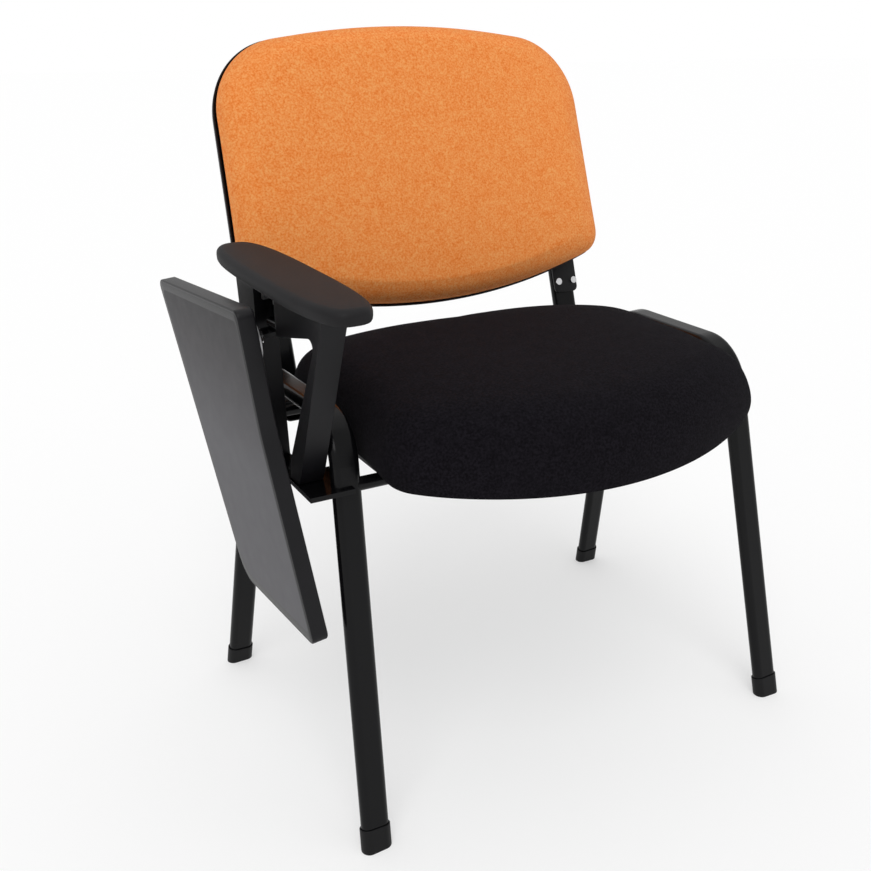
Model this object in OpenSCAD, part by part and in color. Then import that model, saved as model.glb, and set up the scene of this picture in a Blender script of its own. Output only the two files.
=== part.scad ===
// Training chair with a folding writing tablet, in millimetres.
// X runs to the sitter's left, Y to the back and Z up. The seat is symmetric about X = 0.

/* [Frame] */
// Height of the seat rails' centre line
rail_z = 432; // [400:1:460]
// Width of the flat-oval frame tube, across the chair
tube_w = 30; // [24:1:36]
// Depth of the flat-oval frame tube
tube_d = 15; // [12:1:20]
// Wall of all the tubes
tube_wall = 1.5; // [1:0.1:2.5]
// Centre-line radius of the bends at the rail's ends
bend_r = 55; // [40:1:65]
// Clearance from the seat's edge to a rail's centre line, at the front corner
rail_clear = 19; // [17:1:40]
// Where the front leg's centre line meets the rail's
front_corner_y = -82.7; // [-100:0.1:-60]
// Length of the rail between its corners
rail_len = 214; // [190:1:240]
// Lean of the front legs
front_lean = 11.8; // [5:0.1:18]
// Lean of the rear legs
rear_lean = 13.4; // [5:0.1:18]
// Splay of the side frames
splay = 3.5; // [0:0.1:6]
// Turn of the side frames, wider at the rear
toe = 2.14; // [0:0.01:4]
// Diameter of the cross tubes
cross_d = 14; // [10:1:14]
// Height of the cross tubes' centre line
cross_z = 369; // [350:1:380]
// Height of the foot caps along the leg
cap_h = 24; // [15:1:35]
// How far a foot cap stands proud of the tube
cap_proud = 1.5; // [1:0.1:3]
// Thickness of the foot caps' floor
cap_floor = 6; // [4:0.5:8]

/* [Seat] */
// Half width of the seat cushion
seat_half = 228; // [200:1:260]
// Foremost point of the seat
seat_front = -223; // [-250:1:-200]
// Rear edge of the seat
seat_rear = 176; // [160:1:180]
// Radius of the bowed front edge
seat_bow_r = 390; // [340:1:500]
// Radius of the front corners
seat_front_r = 36; // [30:1:60]
// Radius of the rear corners
seat_rear_r = 80; // [50:1:90]
// Thickness of the plastic pan
pan_t = 3; // [2:0.5:4]
// Thickness of the plywood under the cushion
seat_board_t = 12; // [9:1:15]
// Highest point of the cushion
seat_crown_z = 464; // [450:1:475]
// Height of the nose's foremost line
nose_z = 391; // [385:1:405]
// Height of the widest line along the seat's sides
seat_side_z = 409; // [400:1:420]
// Lowest point of the nose, at the middle
nose_hem_z = 361; // [356:1:372]
// Rise of the nose's lower edge to the corners
nose_hem_rise = 14; // [5:1:25]

/* [Back] */
// Depth of the reference point of the back's plane
back_y = 200; // [180:1:220]
// Height of the reference point of the back's plane
back_z = 520; // [500:1:540]
// Recline of the back
recline = 17.35; // [10:0.05:25]
// Half width of the back low down
back_half_low = 250; // [225:1:300]
// Half width of the back high up
back_half_high = 245; // [215:1:295]
// Lowest point of the back, along its plane
back_bottom = -57; // [-70:1:-40]
// Highest point of the back, along its plane
back_top = 281; // [260:1:310]
// Radius of the bowed bottom edge
back_bow_low_r = 726; // [600:1:1000]
// Radius of the bowed top edge
back_bow_high_r = 990; // [700:1:1500]
// Radius of the bottom corners
back_low_r = 25; // [18:1:40]
// Radius of the top corners
back_high_r = 92; // [50:1:110]
// Crown of the back cushion in front of the plane
back_crown = 34; // [25:1:60]
// How far the rear shell stands proud of the cushion
shell_proud = 1; // [0.5:0.5:4]
// Depth of the rear shell behind the plane
shell_depth = 19.5; // [16:0.5:25]
// Thickness of the plywood in the back
back_board_t = 12; // [9:1:15]

/* [Uprights] */
// Distance of an upright's middle from the back's edge
upright_inset = 42; // [38:1:60]
// Width of an upright
upright_w = 34; // [28:1:40]
// Height of the uprights' run under the seat
upright_low_z = 362; // [355:1:366]
// Top end of the uprights, along the back's plane
upright_top = 130; // [100:1:180]
// Centre-line radius of the uprights' bend
upright_bend_r = 25; // [20:1:35]

/* [Arm] */
// Clearance from a rail's centre line to the arm's middle plane
arm_clear = 33.5; // [32:0.5:45]
// Width of the plastic arm
arm_w = 25; // [20:1:28]
// Turn of the arm and the tablet, wider at the rear
arm_toe = 2.4; // [0:0.1:4]
// Length of the arm pad
pad_len = 294; // [270:1:330]
// Width of the arm pad
pad_w = 64; // [50:1:64]
// Thickness of the arm pad
pad_t = 15; // [12:1:18]
// Height of the pad's underside at its middle
pad_z = 559.5; // [550:0.5:565]
// Middle of the pad along the chair
pad_y = -50; // [-70:1:-30]
// Rise of the pad to the rear
pad_rise = 2.7; // [0:0.1:5]
// Underside of the arm's foot
arm_foot_z = 372; // [365:1:385]

/* [Tablet] */
// Middle of the flip pin along the chair
pin_y = -18; // [-40:1:0]
// Distance of the flip pin below the pad
pin_drop = 11.5; // [11:0.5:14]
// Radius of the flip pin
pin_r = 3.5; // [3:0.5:4]
// Distance of the tablet's inner face from the flip pin
tablet_gap = 43.5; // [43:0.5:46]
// Lean of the hanging tablet, its lower edge inwards
tablet_lean = 5; // [0:0.5:8]
// Roll of the hanging tablet, its lower edge forwards
tablet_roll = 3.3; // [0:0.1:6]
// Thickness of the tablet
tablet_t = 16.7; // [12:0.1:20]
// Length of the tablet's top edge
tablet_top = 252; // [200:1:280]
// Length of the tablet's lower edge
tablet_low = 194; // [150:1:240]
// Length of the tablet from top to lower edge
tablet_len = 326; // [280:1:360]
// Thickness of the band round the tablet
band_t = 2; // [1:0.5:3]
// Distance of the swing bolt below the flip pin
swing_drop = 28; // [26:1:32]
// Distance of the swing bolt in front of the flip pin's middle
swing_ahead = 32; // [20:1:40]

/* [Hidden] */
$fn = 48;
whole = 1000;
half = 0.5;
weld_gap = 0.1;
soft_gap = 0.3;
fit_gap = 0.05;
seam = 0.03;
seam_run = 0.2;
turn_quarter = 90;
full_turn = 360;
bow_step = 3;
first_step = 15;
sides = [1, -1];

// Places that follow the seat and the back
rail_half = seat_half + rail_clear;
arm_x = rail_half + arm_clear;
upright_x = back_half_low - upright_inset;
pin_z = pad_z - pin_drop;

// Legs in the plane of their frame
leg_drop = rail_z / cos(splay);
front_leg_len = leg_drop / cos(front_lean);
rear_leg_len = leg_drop / cos(rear_lean);
front_turn = turn_quarter - front_lean;
rear_turn = turn_quarter - rear_lean;
front_tangent = bend_r * tan(front_turn * half);
rear_tangent = bend_r * tan(rear_turn * half);

// Cross tubes follow the legs
front_cross_y = front_corner_y - (rail_z - cross_z) * tan(front_lean);
rear_cross_y = front_corner_y + rail_len + (rail_z - cross_z) * tan(rear_lean);
cross_r = cross_d * half;
cross_len = (rail_half + tube_w) * 2;

// Seat stack from the cross tubes up
pan_z = cross_z + cross_r;
seat_board_z = pan_z + pan_t;
cushion_z = seat_board_z + seat_board_t + soft_gap;
pan_h = pan_t + seat_board_t;
pan_inset = 11;
seat_screw_x = seat_half * 0.65;
seat_screw_run = 17;
tab_w = 34;
tab_drop = 9;
nose_start = -60;
nose_run = 120;
crown_y = 50;
rear_fall = 23;
front_fall = 14;
side_fall = 12;
hem_rise = 9;
seat_hem = pan_z + hem_rise;
hem_inset = 4;
top_share_x = 0.85;
top_share_nose = 0.77;
top_share_rear = 0.84;
m6_r = 3;
m6_head_r = 5.5;
m6_head_h = 4;

// Back and uprights
upright_y = shell_depth + tube_d * half;
low_corner_y = back_y + (upright_low_z - back_z) * tan(recline) + upright_y / cos(recline);
low_corner_s = (low_corner_y - back_y) * sin(recline) + (upright_low_z - back_z) * cos(recline);
upright_turn = turn_quarter - recline;
upright_tangent = upright_bend_r * tan(upright_turn * half);
plug_t = 2;
plug_depth = 12;
upright_foot = low_corner_y - upright_tangent - rear_cross_y;
upright_rise = upright_top - low_corner_s - upright_tangent;
shell_t = 3;
shell_step = 10;
back_board_y = shell_depth - shell_t - soft_gap * half - back_board_t;
tongue_w = upright_w + 2;
tongue_t = 4;
tongue_low = -68;
tongue_high = -20;
tongue_screw_s = -53;
tongue_screw_x = 12;
back_screw_s = [40, 105];
side_flat = 0.12;
end_flat = 0.1;
lumbar_s = 60;
face_share = 0.86;
wide_depth = 12;
m5_r = 2.5;
m5_head_r = 4.5;
m5_head_h = 2.5;
hinge_screw_len = 14;

// Hinge below the pad
barrel_r = 6;
barrel_half = 11;
washer_t = 1.2;
lug_t = 5;
lug_y = barrel_half + washer_t + weld_gap;
lug_drop = 8;
hinge_plate_t = 2;
hinge_plate_z = pin_z + barrel_r + half;
hinge_half = 45;
notch_half = 26;
notch_drop = 50;
notch_side = 9;
hinge_screw_y = 30;
pin_head_r = 6.5;
pin_head_h = 6;
nut_r = 6.3;
nut_h = 5;

// Link and swing bolt, inwards from the tablet
mount_plate_t = 2.5;
mount_plate_r = 26;
swing_washer_t = 1;
flange_t = 4;
flange_x = -tablet_gap + mount_plate_t + swing_washer_t;
web_z = -38;
flange_reach = 14;
head_cut = 2.5;
clamp_x = -5;
clamp_z = -30;
clamp_r = 5;
clamp_head_h = 5;
swing_r = 4;
swing_head_r = 7;
swing_head_h = 4;
swing_depth = 10;
mount_screw_r = 20;

// The tablet's outline, from its top front corner's mark, rearwards and up
tablet_mark = [-47.4, 6.5];
tablet_nose = -12;
tablet_waist = [-15, -115];
tablet_heel = -51;
tablet_points = [
    [tablet_nose, 0],
    tablet_waist,
    [tablet_heel, -tablet_len],
    [tablet_heel + tablet_low, -tablet_len],
    [tablet_nose + tablet_top, 0],
];
tablet_radii = [9, 200, 9, 34, 9];

// The pad's section as insets and shares of its thickness, and how square its outline is
pad_power = 0.64;
pad_section = [[5, 0], [1.6, 0.093], [0, 0.333], [0, 0.6], [1.2, 0.8], [4, 0.94], [9, 0.987]];

// The arm's side view, in the chair's own Y and Z
bracket_t = 5;
arm_front_y = -155;
arm_rear_y = 56;
arm_top_front = [arm_front_y, pad_z + (arm_front_y - pad_y) * tan(pad_rise) - soft_gap];
arm_top_rear = [arm_rear_y, pad_z + (arm_rear_y - pad_y) * tan(pad_rise) - soft_gap];
arm_points = [
    arm_top_front, [-83, 385], [-76, arm_foot_z], [38, arm_foot_z], arm_top_rear,
];
arm_radii = [4, 12, 4, 8, 4];
arm_hole = [
    [-137, 531], [-57, 391], [-53, arm_foot_z - bracket_t], [6, arm_foot_z - bracket_t],
    [14, 506], [-50, 513],
];
arm_hole_radii = [8, 30, 1, 1, 8, 60];
bracket_front = -112;
bracket_rear = -46;
bracket_tail = 42;
arm_bolt_y = [-66, 22];
m8_r = 4;
m8_head_r = 6.5;
m8_head_h = 5;
arm_bolt_len = 22;

// Overall reach, which sets the origin at the middle of the floor area
reach_left = 301.78;
reach_right = -347.449;
reach_front = seat_front;
reach_rear = 302.1115;
origin_x = (reach_left + reach_right) * half;
origin_y = (reach_front + reach_rear) * half;

// Points and outlines

function arc(centre, r, from, to, steps) =
    [for (i = [0:steps]) let (a = from + (to - from) * i / steps)
        centre + r * [cos(a), sin(a)]];

function mirrored(points) = [for (i = [len(points) - 1:-1:0]) [-points[i][0], points[i][1]]];

function unit(v) = v / norm(v);

function cross_z_of(a, b) = a[0] * b[1] - a[1] * b[0];

// The corner p of a polygon as an arc between its neighbours a and b.
function corner(a, p, b, r, steps) =
    let (u = unit(a - p), v = unit(b - p),
         turn = acos(u * v), reach = r / tan(turn * half),
         centre = p + unit(u + v) * r / sin(turn * half),
         start = p + u * reach - centre, way = sign(cross_z_of(u, v)))
    [for (i = [0:steps]) let (t = way * (turn - 2 * turn_quarter) * i / steps)
        centre + [start[0] * cos(t) - start[1] * sin(t), start[0] * sin(t) + start[1] * cos(t)]];

function rounded(points, radii, steps = 6) =
    let (n = len(points))
    [for (i = [0:n - 1], q = corner(points[(i + n - 1) % n], points[i], points[(i + 1) % n],
                                    radii[i], steps)) q];

// Where two lines, each a point and a direction, meet.
function meet(p, u, q, v) = p + u * (cross_z_of(q - p, v) / cross_z_of(u, v));

function left_of(v) = [-v[1], v[0]];

// A polygon, run anticlockwise, with each side moved inwards.
function inset(points, e) =
    let (n = len(points))
    [for (i = [0:n - 1])
        let (p = points[i], u = unit(p - points[(i + n - 1) % n]),
             v = unit(points[(i + 1) % n] - p))
        meet(p + left_of(u) * e, u, p + left_of(v) * e, v)];

// The seat's outline, inset by e, anticlockwise from the middle of the front edge.
function seat_outline(e = 0) =
    let (bow = [0, seat_front + seat_bow_r],
         fx = seat_half - seat_front_r, fd = seat_bow_r - seat_front_r,
         front = [fx, bow[1] - sqrt(fd * fd - fx * fx)],
         rear = [seat_half - seat_rear_r, seat_rear - seat_rear_r],
         a = atan2(front[1] - bow[1], front[0]),
         right = concat(arc(bow, seat_bow_r - e, -turn_quarter, a, 6),
                        arc(front, seat_front_r - e, a + first_step, 0, 5),
                        arc(rear, seat_rear_r - e, 0, turn_quarter, 8)))
    concat(right, [for (p = mirrored(right)) if (p[1] > seat_front + e + weld_gap) p]);

// The back's outline in its plane, inset by e, anticlockwise from the middle of its lower edge.
function back_outline(e = 0) =
    let (low = [0, back_bottom + back_bow_low_r], lx = back_half_low - back_low_r,
         ld = back_bow_low_r - back_low_r,
         low_c = [lx, low[1] - sqrt(ld * ld - lx * lx)],
         high = [0, back_top - back_bow_high_r], hx = back_half_high - back_high_r,
         hd = back_bow_high_r - back_high_r,
         high_c = [hx, high[1] + sqrt(hd * hd - hx * hx)],
         la = atan2(low_c[1] - low[1], lx), ha = atan2(high_c[1] - high[1], hx),
         right = concat(arc(low, back_bow_low_r - e, -turn_quarter, la, 5),
                        arc(low_c, back_low_r - e, la + first_step, 0, 5),
                        arc(high_c, back_high_r - e, 0, ha, 6),
                        arc(high, back_bow_high_r - e, ha + bow_step, turn_quarter, 4)))
    concat(right, [for (p = mirrored(right)) if (abs(p[0]) > half) p]);

// Tubes

module stadium(w, d) {
    square([w - d, d], center = true);
    for (side = sides) translate([side * (w - d) * half, 0]) circle(r = d * half);
}

// A solid bar along Y, with w across X and d upright.
module bar(w, d, reach) {
    rotate([-turn_quarter, 0, 0]) linear_extrude(reach) stadium(w, d);
}

// A bend that starts along Y and turns up, or down where turn is negative.
module bend(w, d, r, turn) {
    mirror([0, 0, turn < 0 ? 1 : 0]) translate([0, 0, r]) rotate([0, turn_quarter, 0])
        rotate_extrude(angle = abs(turn)) translate([r, 0]) rotate(turn_quarter) stadium(w, d);
}

// A run from the origin along Y: each step is a length and the turn after it. Both ends grow by extra.
// The bars are finer than the bends by the seam and enter them a little, so that they join soundly.
module run(w, d, r, steps, extra = 0, i = 0) {
    reach = steps[i][0];
    turn = steps[i][1];
    last = i == len(steps) - 1;
    early = i == 0 ? extra : seam_run;
    translate([0, -early, 0])
        bar(w - 2 * seam, d - 2 * seam, reach + early + (last ? extra : seam_run));
    if (!last) translate([0, reach, 0]) {
        bend(w, d, r, turn);
        translate([0, r * sin(abs(turn)), sign(turn) * r * (1 - cos(turn))])
            rotate([turn, 0, 0]) run(w, d, r, steps, extra, i + 1);
    }
}

module tube_run(w, d, r, steps) {
    difference() {
        run(w, d, r, steps);
        run(w - 2 * tube_wall, d - 2 * tube_wall, r, steps, 1);
    }
}

// The part in its own place: the chair's middle plane and floor, moved to the origin.
module chair() {
    translate([-origin_x, -origin_y, 0]) children();
}

// The left side frame's plane, or the right one's where side is -1.
module frame_plane(side) {
    mirror([side < 0 ? 1 : 0, 0, 0]) translate([rail_half, front_corner_y, rail_z])
        rotate([0, 0, -toe]) rotate([0, -splay, 0]) children();
}

// A leg's centre line from the floor up along Y: end is 1 at the front and -1 at the rear.
module leg_line(end) {
    if (end > 0) translate([0, -leg_drop * tan(front_lean), -leg_drop])
        rotate([front_turn, 0, 0]) children();
    else translate([0, rail_len + leg_drop * tan(rear_lean), -leg_drop])
        rotate([2 * turn_quarter - rear_turn, 0, 0]) children();
}

module leg_envelope(side, end, grow) {
    frame_plane(side) leg_line(end) translate([0, cap_floor + cap_proud - grow, 0])
        bar(tube_w + 2 * grow, tube_d + 2 * grow, rail_z - bend_r * half);
}

module side_frame(side) {
    start = cap_floor + cap_proud;
    color("#141416") chair() frame_plane(side) leg_line(1) translate([0, start, 0])
        tube_run(tube_w, tube_d, bend_r, [
            [front_leg_len - start - front_tangent, -front_turn],
            [rail_len - front_tangent - rear_tangent, -rear_turn],
            [rear_leg_len - start - rear_tangent, 0],
        ]);
}

module left_side_frame() side_frame(1);
module right_side_frame() side_frame(-1);

module foot_cap(side, end) {
    color("#1B1B1D") chair() difference() {
        intersection() {
            frame_plane(side) leg_line(end) translate([0, -cap_h, 0])
                bar(tube_w + 2 * cap_proud, tube_d + 2 * cap_proud, 2 * cap_h);
            translate([-whole, -whole, 0]) cube([2 * whole, 2 * whole, whole]);
        }
        leg_envelope(side, end, fit_gap);
    }
}

module foot_cap_front_left() foot_cap(1, 1);
module foot_cap_front_right() foot_cap(-1, 1);
module foot_cap_rear_left() foot_cap(1, -1);
module foot_cap_rear_right() foot_cap(-1, -1);

module cross_envelope(y, r, len) {
    translate([0, y, cross_z]) rotate([0, turn_quarter, 0])
        cylinder(r = r, h = len, center = true);
}

module cross_tube(y, end) {
    color("#141416") chair() difference() {
        cross_envelope(y, cross_r, 2 * rail_half);
        cross_envelope(y, cross_r - tube_wall, cross_len);
        for (side = sides) leg_envelope(side, end, weld_gap);
    }
}

module front_cross_tube() cross_tube(front_cross_y, 1);
module rear_cross_tube() cross_tube(rear_cross_y, -1);

// Seat

module seat_screw_places() {
    for (side = sides, way = [1, -1])
        translate([side * seat_screw_x, way > 0 ? front_cross_y + seat_screw_run
                                                : rear_cross_y - seat_screw_run, 0]) children();
}

module seat_tabs() {
    color("#141416") chair() difference() {
        for (side = sides, way = [1, -1])
            translate([side * seat_screw_x - tab_w * half,
                       way > 0 ? front_cross_y : rear_cross_y - tab_w + cross_r * half,
                       pan_z - tab_drop])
                cube([tab_w, tab_w - cross_r * half, tab_drop]);
        cross_envelope(front_cross_y, cross_r + fit_gap, cross_len);
        cross_envelope(rear_cross_y, cross_r + fit_gap, cross_len);
        seat_screw_places() cylinder(r = m6_r + fit_gap, h = whole);
    }
}

module seat_pan() {
    color("#19191B") chair() difference() {
        translate([0, 0, pan_z]) linear_extrude(pan_h) polygon(seat_outline(pan_inset));
        translate([0, 0, seat_board_z]) linear_extrude(pan_h)
            polygon(seat_outline(pan_inset + pan_t));
        seat_screw_places() cylinder(r = m6_r + fit_gap, h = whole);
    }
}

module seat_board() {
    color("#B58B58") chair() difference() {
        translate([0, 0, seat_board_z]) linear_extrude(seat_board_t)
            polygon(seat_outline(pan_inset + pan_t + half));
        seat_screw_places() cylinder(r = m6_r + fit_gap, h = whole);
    }
}

module seat_screws() {
    color("#B9BBBD") chair() seat_screw_places() {
        translate([0, 0, pan_z - tab_drop - m6_head_h]) cylinder(r = m6_head_r, h = m6_head_h);
        translate([0, 0, pan_z - tab_drop])
            cylinder(r = m6_r, h = tab_drop + pan_t + seat_board_t - half);
    }
}

// A closed skin over rings of points, with a middle point at each end.
module skin(rings, first, last) {
    n = len(rings[0]);
    m = len(rings);
    points = concat([for (ring = rings) for (p = ring) p], [first, last]);
    walls = [for (k = [0:m - 2], i = [0:n - 1])
        let (j = (i + 1) % n)
        each [[k * n + i, k * n + j, (k + 1) * n + j],
              [k * n + i, (k + 1) * n + j, (k + 1) * n + i]]];
    ends = [for (i = [0:n - 1])
        let (j = (i + 1) % n)
        each [[m * n, j, i], [m * n + 1, (m - 1) * n + i, (m - 1) * n + j]]];
    polyhedron(points, concat(walls, ends));
}

// How far a point is into the nose, from 0 to 1.
function nose_share(y) =
    let (t = min(1, max(0, (nose_start - y) / nose_run))) t * t * (3 - 2 * t);

function seat_top_z(x, y) =
    seat_crown_z
    - (y > crown_y ? rear_fall * pow((y - crown_y) / (seat_rear - crown_y), 2)
                   : front_fall * pow((crown_y - y) / (crown_y - nose_start) * half, 2))
    - side_fall * pow(abs(x) / seat_half, 3);

function seat_wide_z(y) = seat_side_z + (nose_z - seat_side_z) * nose_share(y);

function seat_hem_z(x, y) =
    seat_hem
    + (nose_hem_z + nose_hem_rise * pow(x / seat_half, 2) - seat_hem) * nose_share(y);

// The outline of the seat's flatter top, drawn in most at the nose.
function seat_top_outline() =
    [for (p = seat_outline())
        [p[0] * top_share_x, p[1] * (p[1] < 0 ? top_share_nose : top_share_rear)]];

function seat_ring_top(share) =
    [for (p = seat_top_outline()) [p[0] * share, p[1] * share, seat_top_z(p[0] * share, p[1] * share)]];

// A ring of the rounded side, from the top at 90 degrees to the widest line at 0.
function seat_ring_side(a) =
    let (inner = seat_top_outline(), outer = seat_outline())
    [for (i = [0:len(outer) - 1])
        let (p = inner[i], q = outer[i], low = seat_wide_z(q[1]), high = seat_top_z(p[0], p[1]))
        concat(p + (q - p) * cos(a), [low + (high - low) * sin(a)])];

function seat_ring_hem(e) = [for (p = seat_outline(e)) concat(p, [seat_hem_z(p[0], p[1])])];

function seat_ring_at(e, z) = [for (p = seat_outline(e)) concat(p, [z])];

module seat_cushion() {
    rings = concat([for (share = [0.35, 0.7]) seat_ring_top(share)],
                   [for (a = [90, 72, 54, 36, 18, 0]) seat_ring_side(a)],
                   [seat_ring_hem(hem_inset), seat_ring_hem(pan_inset - half),
                    seat_ring_at(pan_inset - half, cushion_z)]);
    color("#18161B") chair()
        skin(rings, [0, 0, seat_top_z(0, 0)], [0, 0, cushion_z]);
}

// Back

module back_plane() {
    translate([0, back_y, back_z]) rotate([-recline, 0, 0]) children();
}

// An extrusion of a back outline over the depths y0 to y1 behind the plane.
module back_slab(e, y0, y1) {
    translate([0, y1, 0]) rotate([turn_quarter, 0, 0]) linear_extrude(y1 - y0)
        polygon(back_outline(e));
}

module tongue_screw_places() {
    for (side = sides, way = sides)
        translate([side * upright_x + way * tongue_screw_x, shell_depth - tongue_t,
                   tongue_screw_s]) rotate([-turn_quarter, 0, 0]) children();
}

module back_screw_places() {
    for (side = sides, s = back_screw_s)
        translate([side * upright_x, shell_depth + tube_d, s]) rotate([turn_quarter, 0, 0])
            children();
}

module back_shell() {
    color("#17171A") chair() back_plane() difference() {
        union() {
            back_slab(-shell_proud, soft_gap, shell_step);
            back_slab(shell_proud, shell_step, shell_depth);
            for (side = sides)
                translate([side * upright_x - tongue_w * half, shell_depth - tongue_t,
                           tongue_low])
                    cube([tongue_w, tongue_t, tongue_high - tongue_low]);
        }
        back_slab(half, 0, shell_step - shell_t);
        back_slab(shell_proud + shell_t, 0, shell_depth - shell_t);
        tongue_screw_places() cylinder(r = m5_r + fit_gap, h = tongue_t * 4, center = true);
        back_screw_places() cylinder(r = m6_r + fit_gap, h = tube_d + shell_t * 2);
    }
}

module back_board() {
    color("#B58B58") chair() back_plane() difference() {
        back_slab(shell_step, back_board_y, back_board_y + back_board_t);
        back_screw_places() cylinder(r = m6_r + fit_gap, h = 2 * upright_w);
    }
}

module back_screws() {
    color("#B9BBBD") chair() back_plane() back_screw_places() {
        translate([0, 0, -m6_head_h]) cylinder(r = m6_head_r, h = m6_head_h);
        cylinder(r = m6_r, h = tube_d + shell_t + back_board_t - half);
    }
}

module tongue_screws() {
    color("#D5D6D8") chair() back_plane() tongue_screw_places() {
        translate([0, 0, -m5_head_h]) cylinder(r = m5_head_r, h = m5_head_h);
        cylinder(r = m5_r, h = tongue_t + tube_wall * 2);
    }
}

// The cushion's depth in front of the back's plane, fullest at the lumbar height.
function back_front(x, z) =
    back_crown * (1 - side_flat * pow(x / back_half_low, 2))
    * (1 - end_flat * pow((z - lumbar_s) / (back_top - back_bottom - lumbar_s * half), 2));

function back_middle() = [0, (back_top + back_bottom) * half];

function back_ring_face(share) =
    [for (p = back_outline())
        let (q = back_middle() + (p - back_middle()) * share)
        [q[0], -back_front(q[0], q[1]), q[1]]];

function back_ring_side(a) =
    [for (p = back_outline())
        let (q = back_middle() + (p - back_middle()) * face_share,
             r = q + (p - q) * cos(a), low = -wide_depth, high = -back_front(q[0], q[1]))
        [r[0], low + (high - low) * sin(a), r[1]]];

function back_ring_at(e, y) = [for (p = back_outline(e)) [p[0], y, p[1]]];

module back_cushion() {
    rear_y = back_board_y - soft_gap;
    rings = concat([for (share = [0.3, 0.6]) back_ring_face(share)],
                   [for (a = [90, 72, 54, 36, 18, 0]) back_ring_side(a)],
                   [back_ring_at(shell_t, 0), back_ring_at(shell_t, rear_y)]);
    middle = back_middle();
    color("#EE7B35") chair() back_plane()
        skin(rings, [0, -back_front(0, middle[1]), middle[1]], [0, rear_y, middle[1]]);
}

// Uprights

module upright(side) {
    color("#141416") chair() difference() {
        translate([side * upright_x, rear_cross_y, upright_low_z])
            tube_run(upright_w, tube_d, upright_bend_r,
                     [[upright_foot, upright_turn], [upright_rise, 0]]);
        cross_envelope(rear_cross_y, cross_r + weld_gap, cross_len);
        back_plane() tongue_screw_places()
            cylinder(r = m5_r + fit_gap, h = tongue_t + tube_d * half);
        back_plane() back_screw_places()
            cylinder(r = m6_r + fit_gap, h = tube_d * 3, center = true);
    }
}

module upright_left() upright(1);
module upright_right() upright(-1);

module upright_plugs() {
    color("#1B1B1D") chair() back_plane() for (side = sides)
        translate([side * upright_x, upright_y, upright_top]) {
            linear_extrude(plug_t) stadium(upright_w, tube_d);
            translate([0, 0, -plug_depth]) linear_extrude(plug_depth + half)
                stadium(upright_w - 2 * tube_wall - 2 * weld_gap,
                        tube_d - 2 * tube_wall - 2 * weld_gap);
        }
}

// Arm

// The arm's own frame: its middle plane at the flip pin, with Z from the floor.
module arm_place() {
    translate([-arm_x, pin_y, 0]) rotate([0, 0, arm_toe]) children();
}

// The pin's frame, turned so that the hanging tablet lies in its Y and Z.
module tablet_place() {
    arm_place() translate([0, 0, pin_z]) rotate([0, -tablet_lean, 0]) children();
}

// A plate between x0 and x1 with its outline in Y and Z.
module side_plate(x0, x1, points) {
    translate([x0, 0, 0]) rotate([turn_quarter, 0, turn_quarter]) linear_extrude(x1 - x0)
        polygon(points);
}

module along_y(y0, y1, r) {
    translate([0, y1, 0]) rotate([turn_quarter, 0, 0]) cylinder(r = r, h = y1 - y0);
}

module along_x(x0, x1, r) {
    translate([x0, 0, 0]) rotate([0, turn_quarter, 0]) cylinder(r = r, h = x1 - x0);
}

module arm_bolt_places() {
    arm_place() for (y = arm_bolt_y) translate([0, y - pin_y, arm_foot_z - bracket_t]) children();
}

module hinge_screw_places() {
    arm_place() for (side = sides)
        translate([0, side * hinge_screw_y, hinge_plate_z + hinge_plate_t]) children();
}

module arm_bracket() {
    color("#A9ABAE") chair() difference() {
        union() {
            translate([-arm_x - arm_w * half, bracket_front, arm_foot_z - bracket_t])
                cube([arm_x + arm_w * half - rail_half - fit_gap, bracket_rear - bracket_front,
                      bracket_t]);
            arm_place() translate([-arm_w * half, bracket_rear - tube_d - pin_y,
                                   arm_foot_z - bracket_t])
                cube([arm_w, bracket_tail - bracket_rear + tube_d, bracket_t]);
        }
        leg_envelope(-1, 1, weld_gap);
        arm_bolt_places() cylinder(r = m8_r + fit_gap, h = 3 * bracket_t, center = true);
    }
}

module arm_body() {
    color("#2A282C") chair() difference() {
        arm_place() translate([0, -pin_y, 0]) difference() {
            side_plate(-arm_w * half, arm_w * half, rounded(arm_points, arm_radii));
            side_plate(-arm_w, arm_w, rounded(arm_hole, arm_hole_radii));
        }
        arm_place() {
            translate([-arm_w, -notch_half, pin_z - notch_drop])
                cube([arm_w + notch_side, 2 * notch_half, 2 * notch_drop]);
            translate([-arm_w, -hinge_half - fit_gap, hinge_plate_z])
                cube([2 * arm_w, 2 * (hinge_half + fit_gap), tube_w]);
        }
        arm_bolt_places() cylinder(r = m8_r + fit_gap, h = arm_bolt_len + half);
        hinge_screw_places() translate([0, 0, -hinge_screw_len - half])
            cylinder(r = m5_r + fit_gap, h = tube_w);
    }
}

module arm_bolts() {
    color("#B9BBBD") chair() arm_bolt_places() {
        translate([0, 0, -m8_head_h]) cylinder(r = m8_head_r, h = m8_head_h);
        cylinder(r = m8_r, h = arm_bolt_len);
    }
}

// A ring of the pad's rounded outline, inset by e at height z.
function pad_ring(e, z, steps = 44) =
    [for (i = [0:steps - 1]) let (a = full_turn * i / steps)
        [(pad_w * half - e) * sign(cos(a)) * pow(abs(cos(a)), pad_power),
         (pad_len * half - e) * sign(sin(a)) * pow(abs(sin(a)), pad_power), z]];

module arm_pad() {
    rings = [for (step = pad_section) pad_ring(step[0], step[1] * pad_t)];
    color("#242226") chair() arm_place()
        translate([0, pad_y - pin_y, pad_z]) rotate([pad_rise, 0, 0])
            skin([for (k = [len(rings) - 1:-1:0]) rings[k]], [0, 0, pad_t], [0, 0, 0]);
}

// Hinge under the pad

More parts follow.
